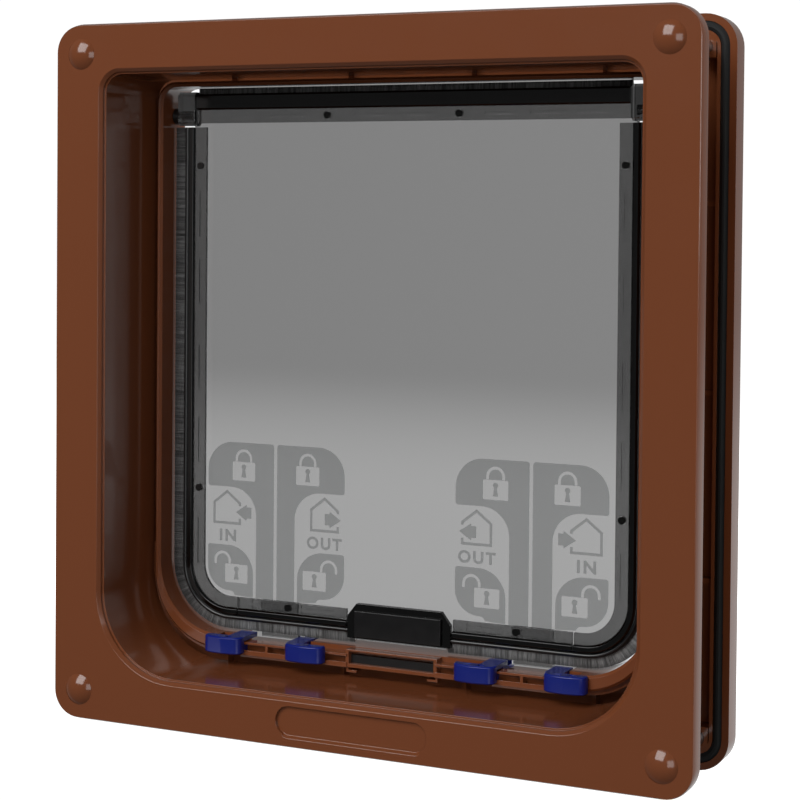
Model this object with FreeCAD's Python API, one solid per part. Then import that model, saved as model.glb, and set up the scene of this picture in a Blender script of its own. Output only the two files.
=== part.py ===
import FreeCAD, Part
import math
import os
from FreeCAD import Vector

os.makedirs("parts", exist_ok=True)

# A cat flap for a door. Two flanged frames sandwich the door between them, and
# four long screws pull them together. X runs across, Z is up and Y runs from the
# room, through the door, to the outside. Depths below are measured from the face
# of the inner flange, and at_depth() turns them into Y.

# Sill layout, from the middle outwards: bracket, inner latch, outer latch, end of
# the rail, corner of the collar. The width of the whole flap follows from it.
BRACKET_HALF_WIDTH = 14.8
LATCH_FROM_BRACKET = 6.3
LATCH_WIDTH = 12.8
LATCH_OPEN_GAP = 14.8
RAIL_END_MARGIN = 2.9
COLLAR_RADIUS_LOW = 20.4
COLLAR_CORNER_MARGIN = 0.6

# Cutters run past a face by this much. Edges longer than this count as long ones.
PAST = 1.0
LONG_EDGE = 1.0
NEAR = 0.1

# The two flanges and the door between them
FLANGE_HEIGHT = 208.0
FLANGE_RADIUS = 9.0
FLANGE_EDGE = 1.3
FLANGE_PLATE = 2.4
BORDER_SIDE = 16.7
BORDER_LOW = 15.0
BORDER_HIGH = 15.0
INNER_FLANGE_DEPTH = 5.1
DOOR_THICKNESS = 26.8
OUTER_FLANGE_DEPTH = 8.5

# Inner frame: skirt, opening, tunnel through the door, bare badge recess
SKIRT_WALL = 2.2
OPENING_RADIUS_LOW = 24.0
OPENING_RADIUS_HIGH = 5.5
OPENING_STEP = 0.6
OPENING_STEP_DEPTH = 1.8
OPENING_BEVEL = 1.0
TUNNEL_WALL = 1.8
TUNNEL_CLEARANCE = 0.9
BADGE_LENGTH = 47.4
BADGE_HEIGHT = 8.5
BADGE_RISE = 7.8
BADGE_DEPTH = 1.0
RIB = 1.4
RIB_SETBACK = 0.5
UPRIGHT_RIB_SHARES = (-0.3, -0.1, 0.1, 0.3)
LEVEL_RIB_SHARES = (0.25, 0.5, 0.75)

# Corner screws and their caps
SCREW_RADIUS = 2.0
SCREW_CLEARANCE = 0.2
SCREW_SEAT_CLEARANCE = 0.05
SCREW_GRIP = 5.7
SCREW_HEAD_RADIUS = 3.6
SCREW_HEAD_HEIGHT = 2.2
SCREW_FLOOR = 1.5
SCREW_SLOT = 1.0
SCREW_SLOT_LENGTH = 4.4
COUNTERBORE_CLEARANCE = 0.3
INNER_BOSS_HALF = 5.6
SCREW_PAD_HALF = 3.1
CAP_RADIUS = 4.6
CAP_DOME = 1.8
CAP_TOP_RADIUS = 2.3
CAP_STEM = 1.2
CAP_STEM_CLEARANCE = 0.05

# Outer frame: gasket groove, collar that carries the flap
LIP_WALL = 2.0
GROOVE_WIDTH = 2.6
GROOVE_DEPTH = 2.6
GASKET_CLEARANCE = 0.1
GASKET_PROUD = 0.6
GASKET_BEVEL = 0.9
RIDGE_WALL = 1.0
COLLAR_REACH = 5.9
COLLAR_WALL = 2.0
COLLAR_TOP_WALL = 1.5
COLLAR_SIDE_GAP = 2.3
COLLAR_TOP_GAP = 0.9
COLLAR_SILL = 4.4
COLLAR_SILL_GAP = 4.4
COLLAR_RADIUS_HIGH = 5.0
COLLAR_BEVEL = 0.7
STEP_REACH = 1.5
STEP_SETBACK = 2.6
STEP_THICKNESS = 2.0
STEP_HEIGHT = 35.0
HINGE_BOSS_RADIUS = 4.0
HINGE_BOSS_REACH = 1.6
HINGE_BORE_CLEARANCE = 0.05

# Flap: panel, hinge blocks and pins
FLAP_SETBACK = 7.0
PANEL_THICKNESS = 2.2
PANEL_RADIUS_LOW = 13.5
PANEL_RADIUS_HIGH = 2.0
AXIS_DROP = 8.7
AXIS_SETBACK = 1.0
TONGUE_HALF_WIDTH = 15.0
TONGUE_DROP = 5.1
BLOCK_WIDTH = 6.0
BLOCK_GAP = 2.6
BLOCK_BELOW = 3.0
BLOCK_ABOVE = 7.3
BLOCK_AHEAD = 3.0
BLOCK_BEHIND = 2.4
BLOCK_BEVEL = 1.0
PIN_RADIUS = 1.5
PIN_GRIP = 4.8
PIN_REACH = 2.8
PIN_COLLAR_RADIUS = 2.5
PIN_COLLAR_GAP = 0.4

# Brush and the seal strips that hold it, on the room side of the panel
BRUSH_SIDE_GAP = 0.7
BRUSH_LOW_GAP = 0.7
BRUSH_TOP_GAP = 0.6
BRUSH_SIDE_PILE = 6.8
BRUSH_LOW_PILE = 5.8
BRUSH_TOP_PILE = 1.5
BRUSH_THICKNESS = 1.4
BRUSH_ROOT_GAP = 0.3
STRIP_OVERHANG = 1.5
STRIP_SIDE_WIDTH = 6.3
STRIP_LOW_WIDTH = 5.6
STRIP_INNER_RADIUS = 9.5
STRIP_FLAT = 1.0
STRIP_GAP = 0.5
STRIP_JOINT_SETBACK = 17.0
RIM_HEIGHT = 1.7
RIM_WIDTH = 2.4
TOP_STRIP_BELOW = 2.3
TOP_BAR_ABOVE = 1.8
TOP_BAR_THICKNESS = 2.0
SIDE_STRIP_GAP = 1.2
SLOT_WIDTH = 0.8
SLOT_DEPTH = 0.4
SLOT_LENGTH = 14.0
LEVEL_SLOT_LENGTH = 11.0
LEVEL_SLOT_PITCH = 17.0
SIDE_SLOT_SHARES = (0.14, 0.35, 0.5, 0.68, 0.82)
TOP_SLOT_SHARES = (-0.75, -0.55, -0.15, 0.05, 0.45, 0.65, 0.85)
RIVET_SIDES = 12
RIVET_RADIUS = 1.1
RIVET_HEAD = 0.5
RIVET_CLEARANCE = 0.1
SIDE_RIVET_SHARES = (0.25, 0.92)
TOP_RIVET_SHARES = (-0.35, 0.25)
SILL_RIVET_SHARE = 0.9

# Magnet catch: one magnet on the flap, one in the sill bracket
CARRIER_BASE_HALF = 16.8
CARRIER_TOP_HALF = 13.8
CARRIER_DROP = 4.3
CARRIER_SHOULDER = 6.6
CARRIER_HEIGHT = 10.4
CARRIER_THICKNESS = 1.6
CARRIER_FLOOR = 0.4
MAGNET_HALF_WIDTH = 14.0
MAGNET_LIFT = 0.6
MAGNET_HEIGHT = 7.7
MAGNET_THICKNESS = 2.2
BRACKET_GAP = 1.5
BRACKET_SETBACK = 0.4
BRACKET_WALL = 1.1
BRACKET_BACK_WALL = 0.4
SILL_MAGNET_HEIGHT = 2.4
SILL_MAGNET_THICKNESS = 1.7
SEAT_GAP = 0.05
HOOK_LENGTH = 3.4
HOOK_DROP = 0.9
HOOK_WALL = 0.7

# Lock rail in the sill, and its four sliding latches
RAIL_DEPTH = 4.1
RAIL_HEIGHT = 4.0
RAIL_DROP = 1.4
RAIL_WALL = 0.7
RAIL_LIP_WALL = 1.0
RAIL_LIP_HEIGHT = 1.5
RAIL_TAB_LENGTH = 19.0
RAIL_TAB_HEIGHT = 0.8
LATCH_TRAVEL = 7.15
LATCH_BODY_DEPTH = 3.7
LATCH_NOSE = 0.6
LATCH_CHEEK = 1.9
LATCH_CHEEK_WIDTH = 1.5
LATCH_HEIGHT = 5.2
LATCH_TOP_GAP = 0.4
LATCH_CLEARANCE = 0.3
LATCH_BEVEL = 0.5
LATCH_RIM_BEVEL = 0.4
LATCH_ARM_WIDTH = 5.3
LATCH_FOOT_LENGTH = 7.0
LATCH_ARROW_DEPTH = 0.4
LATCH_ARROW_REACH = 3.6
LATCH_ARROW_HALF = 1.1
TOOTH_CLEARANCE = 0.7
TOOTH_THICKNESS = 2.1
LOCK_TAB_GAP = 1.1
LOCK_TAB_LIFT = 0.3
LOCK_TAB_OVERLAP = 3.7
LOCK_TAB_THICKNESS = 1.7
LOCK_TAB_SETBACK = 0.1
NOTCH_CLEARANCE = 0.3
NOTCH_DROP = 1.4

# Places along X that follow from the sill layout
LATCH_HALF_WIDTH = LATCH_WIDTH / 2
GROUP_CENTRE = BRACKET_HALF_WIDTH + LATCH_FROM_BRACKET + LATCH_WIDTH + LATCH_OPEN_GAP / 2
LATCH_SPREAD = (LATCH_OPEN_GAP + LATCH_WIDTH) / 2
LOCK_TAB_HALF = LATCH_OPEN_GAP / 2 - LOCK_TAB_GAP
NOTCH_HALF = LATCH_OPEN_GAP / 2 + LATCH_ARM_WIDTH + NOTCH_CLEARANCE
RAIL_HALF_LENGTH = GROUP_CENTRE + LATCH_SPREAD + RAIL_END_MARGIN
COLLAR_HALF_WIDTH = RAIL_HALF_LENGTH + COLLAR_RADIUS_LOW + COLLAR_CORNER_MARGIN
OPENING_HALF_WIDTH = COLLAR_HALF_WIDTH + COLLAR_WALL + COLLAR_SIDE_GAP
FLANGE_WIDTH = 2 * (OPENING_HALF_WIDTH + BORDER_SIDE)
BRUSH_OUTER = COLLAR_HALF_WIDTH - BRUSH_SIDE_GAP
PANEL_HALF_WIDTH = BRUSH_OUTER - BRUSH_SIDE_PILE
STRIP_OUTER = PANEL_HALF_WIDTH + STRIP_OVERHANG
STRIP_INNER = STRIP_OUTER - STRIP_SIDE_WIDTH
STRIP_JOINT = PANEL_HALF_WIDTH - STRIP_JOINT_SETBACK
STRIP_RADIUS = PANEL_RADIUS_LOW + STRIP_OVERHANG
BRUSH_RADIUS = COLLAR_RADIUS_LOW - BRUSH_SIDE_GAP
BLOCK_OUTER = COLLAR_HALF_WIDTH - BLOCK_GAP
BLOCK_INNER = BLOCK_OUTER - BLOCK_WIDTH

# Heights
OPENING_HIGH = FLANGE_HEIGHT - BORDER_HIGH
COLLAR_LOW = BORDER_LOW + COLLAR_SILL_GAP + COLLAR_SILL
COLLAR_HIGH = OPENING_HIGH - COLLAR_TOP_GAP - COLLAR_TOP_WALL
AXIS_HEIGHT = COLLAR_HIGH - AXIS_DROP
BRUSH_LOW = COLLAR_LOW + BRUSH_LOW_GAP
BRUSH_HIGH = COLLAR_HIGH - BRUSH_TOP_GAP
PANEL_LOW = BRUSH_LOW + BRUSH_LOW_PILE
PANEL_HIGH = BRUSH_HIGH - BRUSH_TOP_PILE
STRIP_LOW = PANEL_LOW - STRIP_OVERHANG
STRIP_INNER_LOW = STRIP_LOW + STRIP_LOW_WIDTH
TOP_STRIP_LOW = AXIS_HEIGHT - TOP_STRIP_BELOW
TOP_BAR_LOW = AXIS_HEIGHT + TOP_BAR_ABOVE
SIDE_STRIP_TOP = TOP_STRIP_LOW - SIDE_STRIP_GAP
TONGUE_LOW = PANEL_LOW - TONGUE_DROP
CARRIER_LOW = PANEL_LOW - CARRIER_DROP
MAGNET_LOW = CARRIER_LOW + MAGNET_LIFT
MAGNET_HIGH = MAGNET_LOW + MAGNET_HEIGHT
BRACKET_TOP = TONGUE_LOW - BRACKET_GAP
RAIL_HIGH = COLLAR_LOW - RAIL_DROP
RAIL_LOW = RAIL_HIGH - RAIL_HEIGHT
RAIL_LIP_HIGH = RAIL_LOW + RAIL_LIP_HEIGHT
NOTCH_FLOOR = RAIL_HIGH - NOTCH_DROP
LOCK_TAB_LOW = RAIL_HIGH + LOCK_TAB_LIFT
LOCK_TAB_TOP = PANEL_LOW + LOCK_TAB_OVERLAP
LATCH_HIGH = BRUSH_LOW - LATCH_TOP_GAP
LATCH_LOW = LATCH_HIGH - LATCH_HEIGHT

# Depths, measured from the face of the inner flange
DOOR_GAP_END = INNER_FLANGE_DEPTH + DOOR_THICKNESS
TOTAL_DEPTH = DOOR_GAP_END + OUTER_FLANGE_DEPTH
FRONT_Y = -(TOTAL_DEPTH - CAP_DOME) / 2
TUNNEL_END = DOOR_GAP_END - TUNNEL_CLEARANCE
SCREW_SEAT = INNER_FLANGE_DEPTH - SCREW_FLOOR
SCREW_END = DOOR_GAP_END + SCREW_GRIP
COLLAR_FRONT = DOOR_GAP_END - COLLAR_REACH
STEP_FRONT = COLLAR_FRONT + STEP_SETBACK
PANEL_FRONT = COLLAR_FRONT + FLAP_SETBACK
PANEL_BACK = PANEL_FRONT + PANEL_THICKNESS
AXIS_DEPTH = PANEL_FRONT + AXIS_SETBACK
STRIP_FRONT = PANEL_FRONT - STRIP_FLAT
RIM_FRONT = PANEL_FRONT - RIM_HEIGHT
BRUSH_BACK = PANEL_FRONT + BRUSH_THICKNESS
TAB_FRONT = BRUSH_BACK + LOCK_TAB_SETBACK
TAB_BACK = TAB_FRONT + LOCK_TAB_THICKNESS
RAIL_FRONT = COLLAR_FRONT
RAIL_BACK = RAIL_FRONT + RAIL_DEPTH
BRACKET_INSIDE_BACK = RAIL_BACK - BRACKET_BACK_WALL
LATCH_BACK = RAIL_FRONT - LATCH_CLEARANCE
LATCH_FRONT = LATCH_BACK - LATCH_BODY_DEPTH

# Outlines: half width, bottom, top, radius of the bottom and of the top corners
FLANGE = (FLANGE_WIDTH / 2, 0.0, FLANGE_HEIGHT, FLANGE_RADIUS, FLANGE_RADIUS)
OPENING = (OPENING_HALF_WIDTH, BORDER_LOW, OPENING_HIGH, OPENING_RADIUS_LOW, OPENING_RADIUS_HIGH)
COLLAR = (COLLAR_HALF_WIDTH, COLLAR_LOW, COLLAR_HIGH, COLLAR_RADIUS_LOW, COLLAR_RADIUS_HIGH)
COLLAR_OUTSIDE = (
    COLLAR_HALF_WIDTH + COLLAR_WALL, COLLAR_LOW - COLLAR_SILL, COLLAR_HIGH + COLLAR_TOP_WALL,
    COLLAR_RADIUS_LOW + COLLAR_WALL, COLLAR_RADIUS_HIGH + COLLAR_TOP_WALL)
PANEL = (PANEL_HALF_WIDTH, PANEL_LOW, PANEL_HIGH, PANEL_RADIUS_LOW, PANEL_RADIUS_HIGH)

# Screws stand at the middle of the flange's corner arcs
SCREW_PLACES = [(x, z) for z in (FLANGE_HEIGHT - FLANGE_RADIUS, FLANGE_RADIUS)
                for x in (FLANGE_RADIUS - FLANGE_WIDTH / 2, FLANGE_WIDTH / 2 - FLANGE_RADIUS)]


def at_depth(depth):
    return FRONT_Y + depth


def rounded_face(half_width, low, high, radius_low, radius_high, depth):
    """A face across the depth: a rectangle with its own radius low and high."""
    corners = [
        (half_width - radius_low, low + radius_low, radius_low, -90),
        (half_width - radius_high, high - radius_high, radius_high, 0),
        (-half_width + radius_high, high - radius_high, radius_high, 90),
        (-half_width + radius_low, low + radius_low, radius_low, 180),
    ]
    y = at_depth(depth)

    def point(corner, turn):
        x, z, radius, start = corner
        angle = math.radians(start + turn)
        return Vector(x + radius * math.cos(angle), y, z + radius * math.sin(angle))

    edges = []
    for index, corner in enumerate(corners):
        arc = Part.Arc(point(corner, 0), point(corner, 45), point(corner, 90))
        edges.append(arc.toShape())
        following = corners[(index + 1) % len(corners)]
        edges.append(Part.LineSegment(point(corner, 90), point(following, 0)).toShape())
    return Part.Face(Part.Wire(edges))


def plate(outline, start, end):
    """A plate with a rounded outline, from one depth to another."""
    return rounded_face(*outline, start).extrude(Vector(0, end - start, 0))


def grown(outline, by):
    half_width, low, high, radius_low, radius_high = outline
    return (half_width + by, low - by, high + by, radius_low + by, radius_high + by)


def ring(outer, inner, start, end):
    return plate(outer, start, end).cut(plate(inner, start, end))


def block(x0, x1, d0, d1, z0, z1):
    """A box between two places in X, depth and Z."""
    corner = Vector(min(x0, x1), at_depth(d0), z0)
    return Part.makeBox(abs(x1 - x0), d1 - d0, z1 - z0, corner)


def rod_through(x, z, radius, start, end):
    """A round bar along the depth."""
    return Part.makeCylinder(radius, end - start, Vector(x, at_depth(start), z), Vector(0, 1, 0))


def rod_across(x0, x1, radius, depth, z):
    """A round bar along X."""
    start = Vector(min(x0, x1), at_depth(depth), z)
    return Part.makeCylinder(radius, abs(x1 - x0), start, Vector(1, 0, 0))


def prism_across(points, x0, x1):
    """A profile of (depth, height) points, drawn out along X."""
    places = [Vector(x0, at_depth(depth), z) for depth, z in points]
    face = Part.Face(Part.makePolygon(places + places[:1]))
    return face.extrude(Vector(x1 - x0, 0, 0))


def prism_through(points, start, end):
    """A profile of (x, height) points, drawn out along the depth."""
    places = [Vector(x, at_depth(start), z) for x, z in points]
    face = Part.Face(Part.makePolygon(places + places[:1]))
    return face.extrude(Vector(0, end - start, 0))


def prism_up(points, low, high):
    """A profile of (x, depth) points, drawn up from one height to another."""
    places = [Vector(x, at_depth(depth), low) for x, depth in points]
    face = Part.Face(Part.makePolygon(places + places[:1]))
    return face.extrude(Vector(0, 0, high - low))


def edges_in_plane(shape, depth, half_width=FLANGE_WIDTH, low=-PAST, high=FLANGE_HEIGHT + PAST):
    """The edges that lie at one depth, inside a window of X and Z."""
    y = at_depth(depth)
    found = []
    for edge in shape.Edges:
        box = edge.BoundBox
        flat = abs(box.YMin - y) < 1e-4 and abs(box.YMax - y) < 1e-4
        inside = max(abs(box.XMin), abs(box.XMax)) < half_width and box.ZMin > low and box.ZMax < high
        if flat and inside:
            found.append(edge)
    return found


def mirrored(shape):
    return shape.mirror(Vector(0, 0, 0), Vector(1, 0, 0))


def joined(first, *others):
    return first.fuse(list(others)).removeSplitter()


def save(shape, node):
    solids = shape.Solids
    if not solids or not shape.isValid():
        raise ValueError(node + " is not a sound solid")
    result = solids[0] if len(solids) == 1 else Part.makeCompound(solids)
    result.exportStep("parts/" + node + ".step")


def rib_places():
    """Where the stiffening ribs stand round a flange: (x, z) and their direction."""
    upright = [(share * FLANGE_WIDTH, "up") for share in UPRIGHT_RIB_SHARES]
    level = [(share * FLANGE_HEIGHT, "level") for share in LEVEL_RIB_SHARES]
    return upright + level


def ribs(inside, front, back):
    """Ribs from the flange's wall to the opening named by its outline."""
    half_width, low, high = inside[:3]
    pieces = []
    for place, direction in rib_places():
        if direction == "up":
            x0, x1 = place - RIB / 2, place + RIB / 2
            pieces.append(block(x0, x1, front, back, SKIRT_WALL / 2, low))
            pieces.append(block(x0, x1, front, back, high, FLANGE_HEIGHT - SKIRT_WALL / 2))
        else:
            z0, z1 = place - RIB / 2, place + RIB / 2
            reach = FLANGE_WIDTH / 2 - SKIRT_WALL / 2
            pieces.append(block(half_width, reach, front, back, z0, z1))
            pieces.append(block(-reach, -half_width, front, back, z0, z1))
    return pieces


def make_inner_frame():
    """Room-side moulding: flange, skirt, tunnel through the door, screw bosses."""
    face = plate(FLANGE, 0, INNER_FLANGE_DEPTH)
    face = face.makeChamfer(FLANGE_EDGE, edges_in_plane(face, 0))
    hollow = ring(grown(FLANGE, -SKIRT_WALL), grown(OPENING, TUNNEL_WALL), FLANGE_PLATE, INNER_FLANGE_DEPTH)
    bosses = [block(x - INNER_BOSS_HALF, x + INNER_BOSS_HALF, FLANGE_PLATE, INNER_FLANGE_DEPTH,
                    z - INNER_BOSS_HALF, z + INNER_BOSS_HALF) for x, z in SCREW_PLACES]
    body = face.cut(hollow)
    body = joined(body, *bosses)
    stiffeners = ribs(grown(OPENING, TUNNEL_WALL / 2), FLANGE_PLATE, INNER_FLANGE_DEPTH - RIB_SETBACK)
    body = joined(body, *stiffeners)
    body = joined(body, plate(grown(OPENING, TUNNEL_WALL), FLANGE_PLATE, TUNNEL_END))
    body = body.cut(plate(OPENING, -PAST, TUNNEL_END + PAST))
    body = body.cut(plate(grown(OPENING, OPENING_STEP), -PAST, OPENING_STEP_DEPTH))
    lip_window = OPENING_HALF_WIDTH + 2 * OPENING_STEP
    lip = edges_in_plane(body, 0, lip_window, BORDER_LOW - 2 * OPENING_STEP, OPENING_HIGH + 2 * OPENING_STEP)
    body = body.makeChamfer(OPENING_BEVEL, lip)
    for x, z in SCREW_PLACES:
        counterbore = SCREW_HEAD_RADIUS + COUNTERBORE_CLEARANCE
        body = body.cut(rod_through(x, z, counterbore, -PAST, SCREW_SEAT))
        body = body.cut(rod_through(x, z, SCREW_RADIUS + SCREW_CLEARANCE, 0, INNER_FLANGE_DEPTH + PAST))
    badge = (BADGE_LENGTH / 2, BADGE_RISE - BADGE_HEIGHT / 2, BADGE_RISE + BADGE_HEIGHT / 2,
             BADGE_HEIGHT / 2 - SEAT_GAP, BADGE_HEIGHT / 2 - SEAT_GAP)
    return body.cut(plate(badge, -PAST, BADGE_DEPTH))


def make_outer_frame():
    """Outside moulding: flange with a gasket groove, and the collar round the flap."""
    face = plate(FLANGE, DOOR_GAP_END, TOTAL_DEPTH)
    face = face.makeChamfer(FLANGE_EDGE, edges_in_plane(face, TOTAL_DEPTH))
    groove_out = grown(FLANGE, -LIP_WALL)
    groove_in = grown(groove_out, -GROOVE_WIDTH)
    ridge_in = grown(groove_in, -RIDGE_WALL)
    body = face.cut(ring(groove_out, groove_in, DOOR_GAP_END, DOOR_GAP_END + GROOVE_DEPTH))
    hollow = ring(ridge_in, COLLAR_OUTSIDE, DOOR_GAP_END, TOTAL_DEPTH - FLANGE_PLATE)
    body = body.cut(hollow)
    pads = [block(x - SCREW_PAD_HALF, x + SCREW_PAD_HALF, DOOR_GAP_END, TOTAL_DEPTH - FLANGE_PLATE / 2,
                  z - SCREW_PAD_HALF, z + SCREW_PAD_HALF) for x, z in SCREW_PLACES]
    body = joined(body, *pads)
    body = joined(body, *collar_ribs())
    body = joined(body, plate(COLLAR_OUTSIDE, COLLAR_FRONT, TOTAL_DEPTH - FLANGE_PLATE / 2), collar_step())
    body = joined(body, *hinge_bosses())
    body = body.cut(plate(COLLAR, COLLAR_FRONT - PAST, TOTAL_DEPTH + PAST))
    rim_window = COLLAR_HALF_WIDTH + 2 * COLLAR_WALL
    rim = edges_in_plane(body, COLLAR_FRONT, rim_window, COLLAR_LOW - 2 * COLLAR_SILL,
                         COLLAR_HIGH + 2 * COLLAR_TOP_WALL)
    body = body.makeChamfer(COLLAR_BEVEL, rim)
    mouth = edges_in_plane(body, TOTAL_DEPTH, rim_window - COLLAR_WALL, COLLAR_LOW - PAST, COLLAR_HIGH + PAST)
    body = body.makeChamfer(OPENING_BEVEL, mouth)
    seat = RAIL_HALF_LENGTH + SEAT_GAP
    body = body.cut(block(-seat, seat, COLLAR_FRONT - PAST, RAIL_BACK, COLLAR_LOW - 2 * COLLAR_SILL,
                          COLLAR_LOW + PAST))
    for side in (-1, 1):
        centre = side * GROUP_CENTRE
        body = body.cut(block(centre - NOTCH_HALF, centre + NOTCH_HALF, RAIL_BACK - PAST, TOTAL_DEPTH + PAST,
                              NOTCH_FLOOR, COLLAR_LOW + PAST))
        bore = PIN_RADIUS + HINGE_BORE_CLEARANCE
        start = side * (COLLAR_HALF_WIDTH - PAST)
        end = side * (COLLAR_HALF_WIDTH + PIN_REACH + SEAT_GAP)
        body = body.cut(rod_across(start, end, bore, AXIS_DEPTH, AXIS_HEIGHT))
    for x, z in SCREW_PLACES:
        hole = SCREW_RADIUS + SCREW_SEAT_CLEARANCE
        body = body.cut(rod_through(x, z, hole, DOOR_GAP_END - PAST, SCREW_END + SEAT_GAP))
    return body


def collar_step():
    """The lower ridge that follows the collar's bottom and its two corners."""
    step = ring(grown(COLLAR_OUTSIDE, STEP_REACH), COLLAR_OUTSIDE, STEP_FRONT, STEP_FRONT + STEP_THICKNESS)
    web = ring(grown(COLLAR_OUTSIDE, STEP_REACH / 2), COLLAR_OUTSIDE, STEP_FRONT, DOOR_GAP_END + PAST)
    keep = block(-FLANGE_WIDTH, FLANGE_WIDTH, 0, TOTAL_DEPTH, 0, BORDER_LOW + STEP_HEIGHT)
    return step.fuse(web).common(keep)


def collar_ribs():
    """Ribs inside the outer flange, from the gasket ridge to the collar."""
    return ribs(grown(COLLAR_OUTSIDE, -COLLAR_TOP_WALL / 2), DOOR_GAP_END + GROOVE_DEPTH,
                TOTAL_DEPTH - FLANGE_PLATE / 2)


def hinge_bosses():
    """Bosses outside the collar, where the two pivot pins turn."""
    inner = COLLAR_HALF_WIDTH + COLLAR_WALL / 2
    outer = COLLAR_HALF_WIDTH + COLLAR_WALL + HINGE_BOSS_REACH
    right = rod_across(inner, outer, HINGE_BOSS_RADIUS, AXIS_DEPTH, AXIS_HEIGHT)
    return [right, mirrored(right)]


def make_gasket():
    """Foam cord that lies in the groove of the outer flange."""
    outer = grown(FLANGE, -LIP_WALL - GASKET_CLEARANCE)
    inner = grown(FLANGE, -LIP_WALL - GROOVE_WIDTH + GASKET_CLEARANCE)
    front = DOOR_GAP_END - GASKET_PROUD
    cord = ring(outer, inner, front, DOOR_GAP_END + GROOVE_DEPTH)
    return cord.makeChamfer(GASKET_BEVEL, edges_in_plane(cord, front))


def make_fixing_screw(x, z):
    """Long pan-head screw, from the inner boss to the outer boss."""
    head_start = SCREW_SEAT - SCREW_HEAD_HEIGHT
    head = rod_through(x, z, SCREW_HEAD_RADIUS, head_start, SCREW_SEAT)
    shank = rod_through(x, z, SCREW_RADIUS, SCREW_SEAT - SCREW_HEAD_HEIGHT / 2, SCREW_END)
    reach = SCREW_SLOT_LENGTH / 2
    slot = SCREW_SLOT / 2
    slot_end = head_start + SCREW_SLOT
    cross = block(x - reach, x + reach, head_start - PAST, slot_end, z - slot, z + slot)
    upright = block(x - slot, x + slot, head_start - PAST, slot_end, z - reach, z + reach)
    return joined(head, shank).cut(cross).cut(upright)


def make_screw_cap(x, z):
    """Raised cap, with a square stem that presses into the counterbore over a screw."""
    button = Part.makeCone(CAP_RADIUS, CAP_TOP_RADIUS, CAP_DOME, Vector(x, at_depth(0), z), Vector(0, -1, 0))
    reach = (SCREW_HEAD_RADIUS + COUNTERBORE_CLEARANCE - CAP_STEM_CLEARANCE) / math.sqrt(2)
    return joined(button, block(x - reach, x + reach, -CAP_DOME / 4, CAP_STEM, z - reach, z + reach))


def make_lock_rail():
    """Sill rail: channel for the latches, magnet bracket and clip hooks."""
    cavity_front = RAIL_FRONT + RAIL_LIP_WALL
    cavity_back = RAIL_BACK - RAIL_LIP_WALL
    cavity_high = RAIL_HIGH - RAIL_WALL
    cavity_low = RAIL_LOW + RAIL_WALL
    profile = [
        (RAIL_BACK, RAIL_LOW), (RAIL_BACK, RAIL_HIGH), (RAIL_FRONT, RAIL_HIGH),
        (RAIL_FRONT, cavity_high), (cavity_back, cavity_high), (cavity_back, cavity_low),
        (cavity_front, cavity_low), (cavity_front, RAIL_LIP_HIGH), (RAIL_FRONT, RAIL_LIP_HIGH),
        (RAIL_FRONT, RAIL_LOW),
    ]
    right = prism_across(profile, BRACKET_HALF_WIDTH - BRACKET_WALL / 2, RAIL_HALF_LENGTH)
    end = block(RAIL_HALF_LENGTH - BRACKET_WALL, RAIL_HALF_LENGTH, RAIL_FRONT, RAIL_BACK, RAIL_LOW, RAIL_HIGH)
    tab = block(GROUP_CENTRE - RAIL_TAB_LENGTH / 2, GROUP_CENTRE + RAIL_TAB_LENGTH / 2,
                RAIL_FRONT + RAIL_LIP_WALL, RAIL_BACK, RAIL_LOW - RAIL_TAB_HEIGHT, RAIL_LOW + RAIL_WALL / 2)
    stop_half = LATCH_OPEN_GAP / 2 + LATCH_BEVEL - LATCH_TRAVEL - LATCH_CLEARANCE
    stop = block(GROUP_CENTRE - stop_half, GROUP_CENTRE + stop_half, RAIL_FRONT, RAIL_BACK,
                 RAIL_LOW + RAIL_WALL / 2, RAIL_HIGH - RAIL_WALL / 2)
    right = joined(right, end, tab, stop)
    front = RAIL_FRONT + BRACKET_SETBACK
    box = block(-BRACKET_HALF_WIDTH, BRACKET_HALF_WIDTH, front, RAIL_BACK, RAIL_LOW, BRACKET_TOP)
    inside = BRACKET_HALF_WIDTH - BRACKET_WALL
    box = box.cut(block(-inside, inside, front - PAST, BRACKET_INSIDE_BACK, RAIL_LOW + BRACKET_WALL,
                        BRACKET_TOP - BRACKET_WALL / 2))
    return joined(right, mirrored(right), box, *clip_hooks())


def clip_hooks():
    """Two L-shaped hooks under the bracket."""
    front = RAIL_FRONT + RAIL_LIP_WALL
    outer = BRACKET_HALF_WIDTH
    drop = block(outer - HOOK_WALL, outer, front, RAIL_BACK, RAIL_LOW - HOOK_DROP, RAIL_LOW + RAIL_WALL / 2)
    foot = block(outer - HOOK_LENGTH, outer, front, RAIL_BACK, RAIL_LOW - HOOK_DROP - HOOK_WALL,
                 RAIL_LOW - HOOK_DROP)
    hook = drop.fuse(foot)
    return [hook, mirrored(hook)]


def make_frame_magnet():
    """Bar magnet in the sill bracket."""
    half = BRACKET_HALF_WIDTH - BRACKET_WALL - SEAT_GAP
    low = RAIL_LOW + BRACKET_WALL
    return block(-half, half, BRACKET_INSIDE_BACK - SILL_MAGNET_THICKNESS, BRACKET_INSIDE_BACK,
                 low, low + SILL_MAGNET_HEIGHT)


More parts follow.
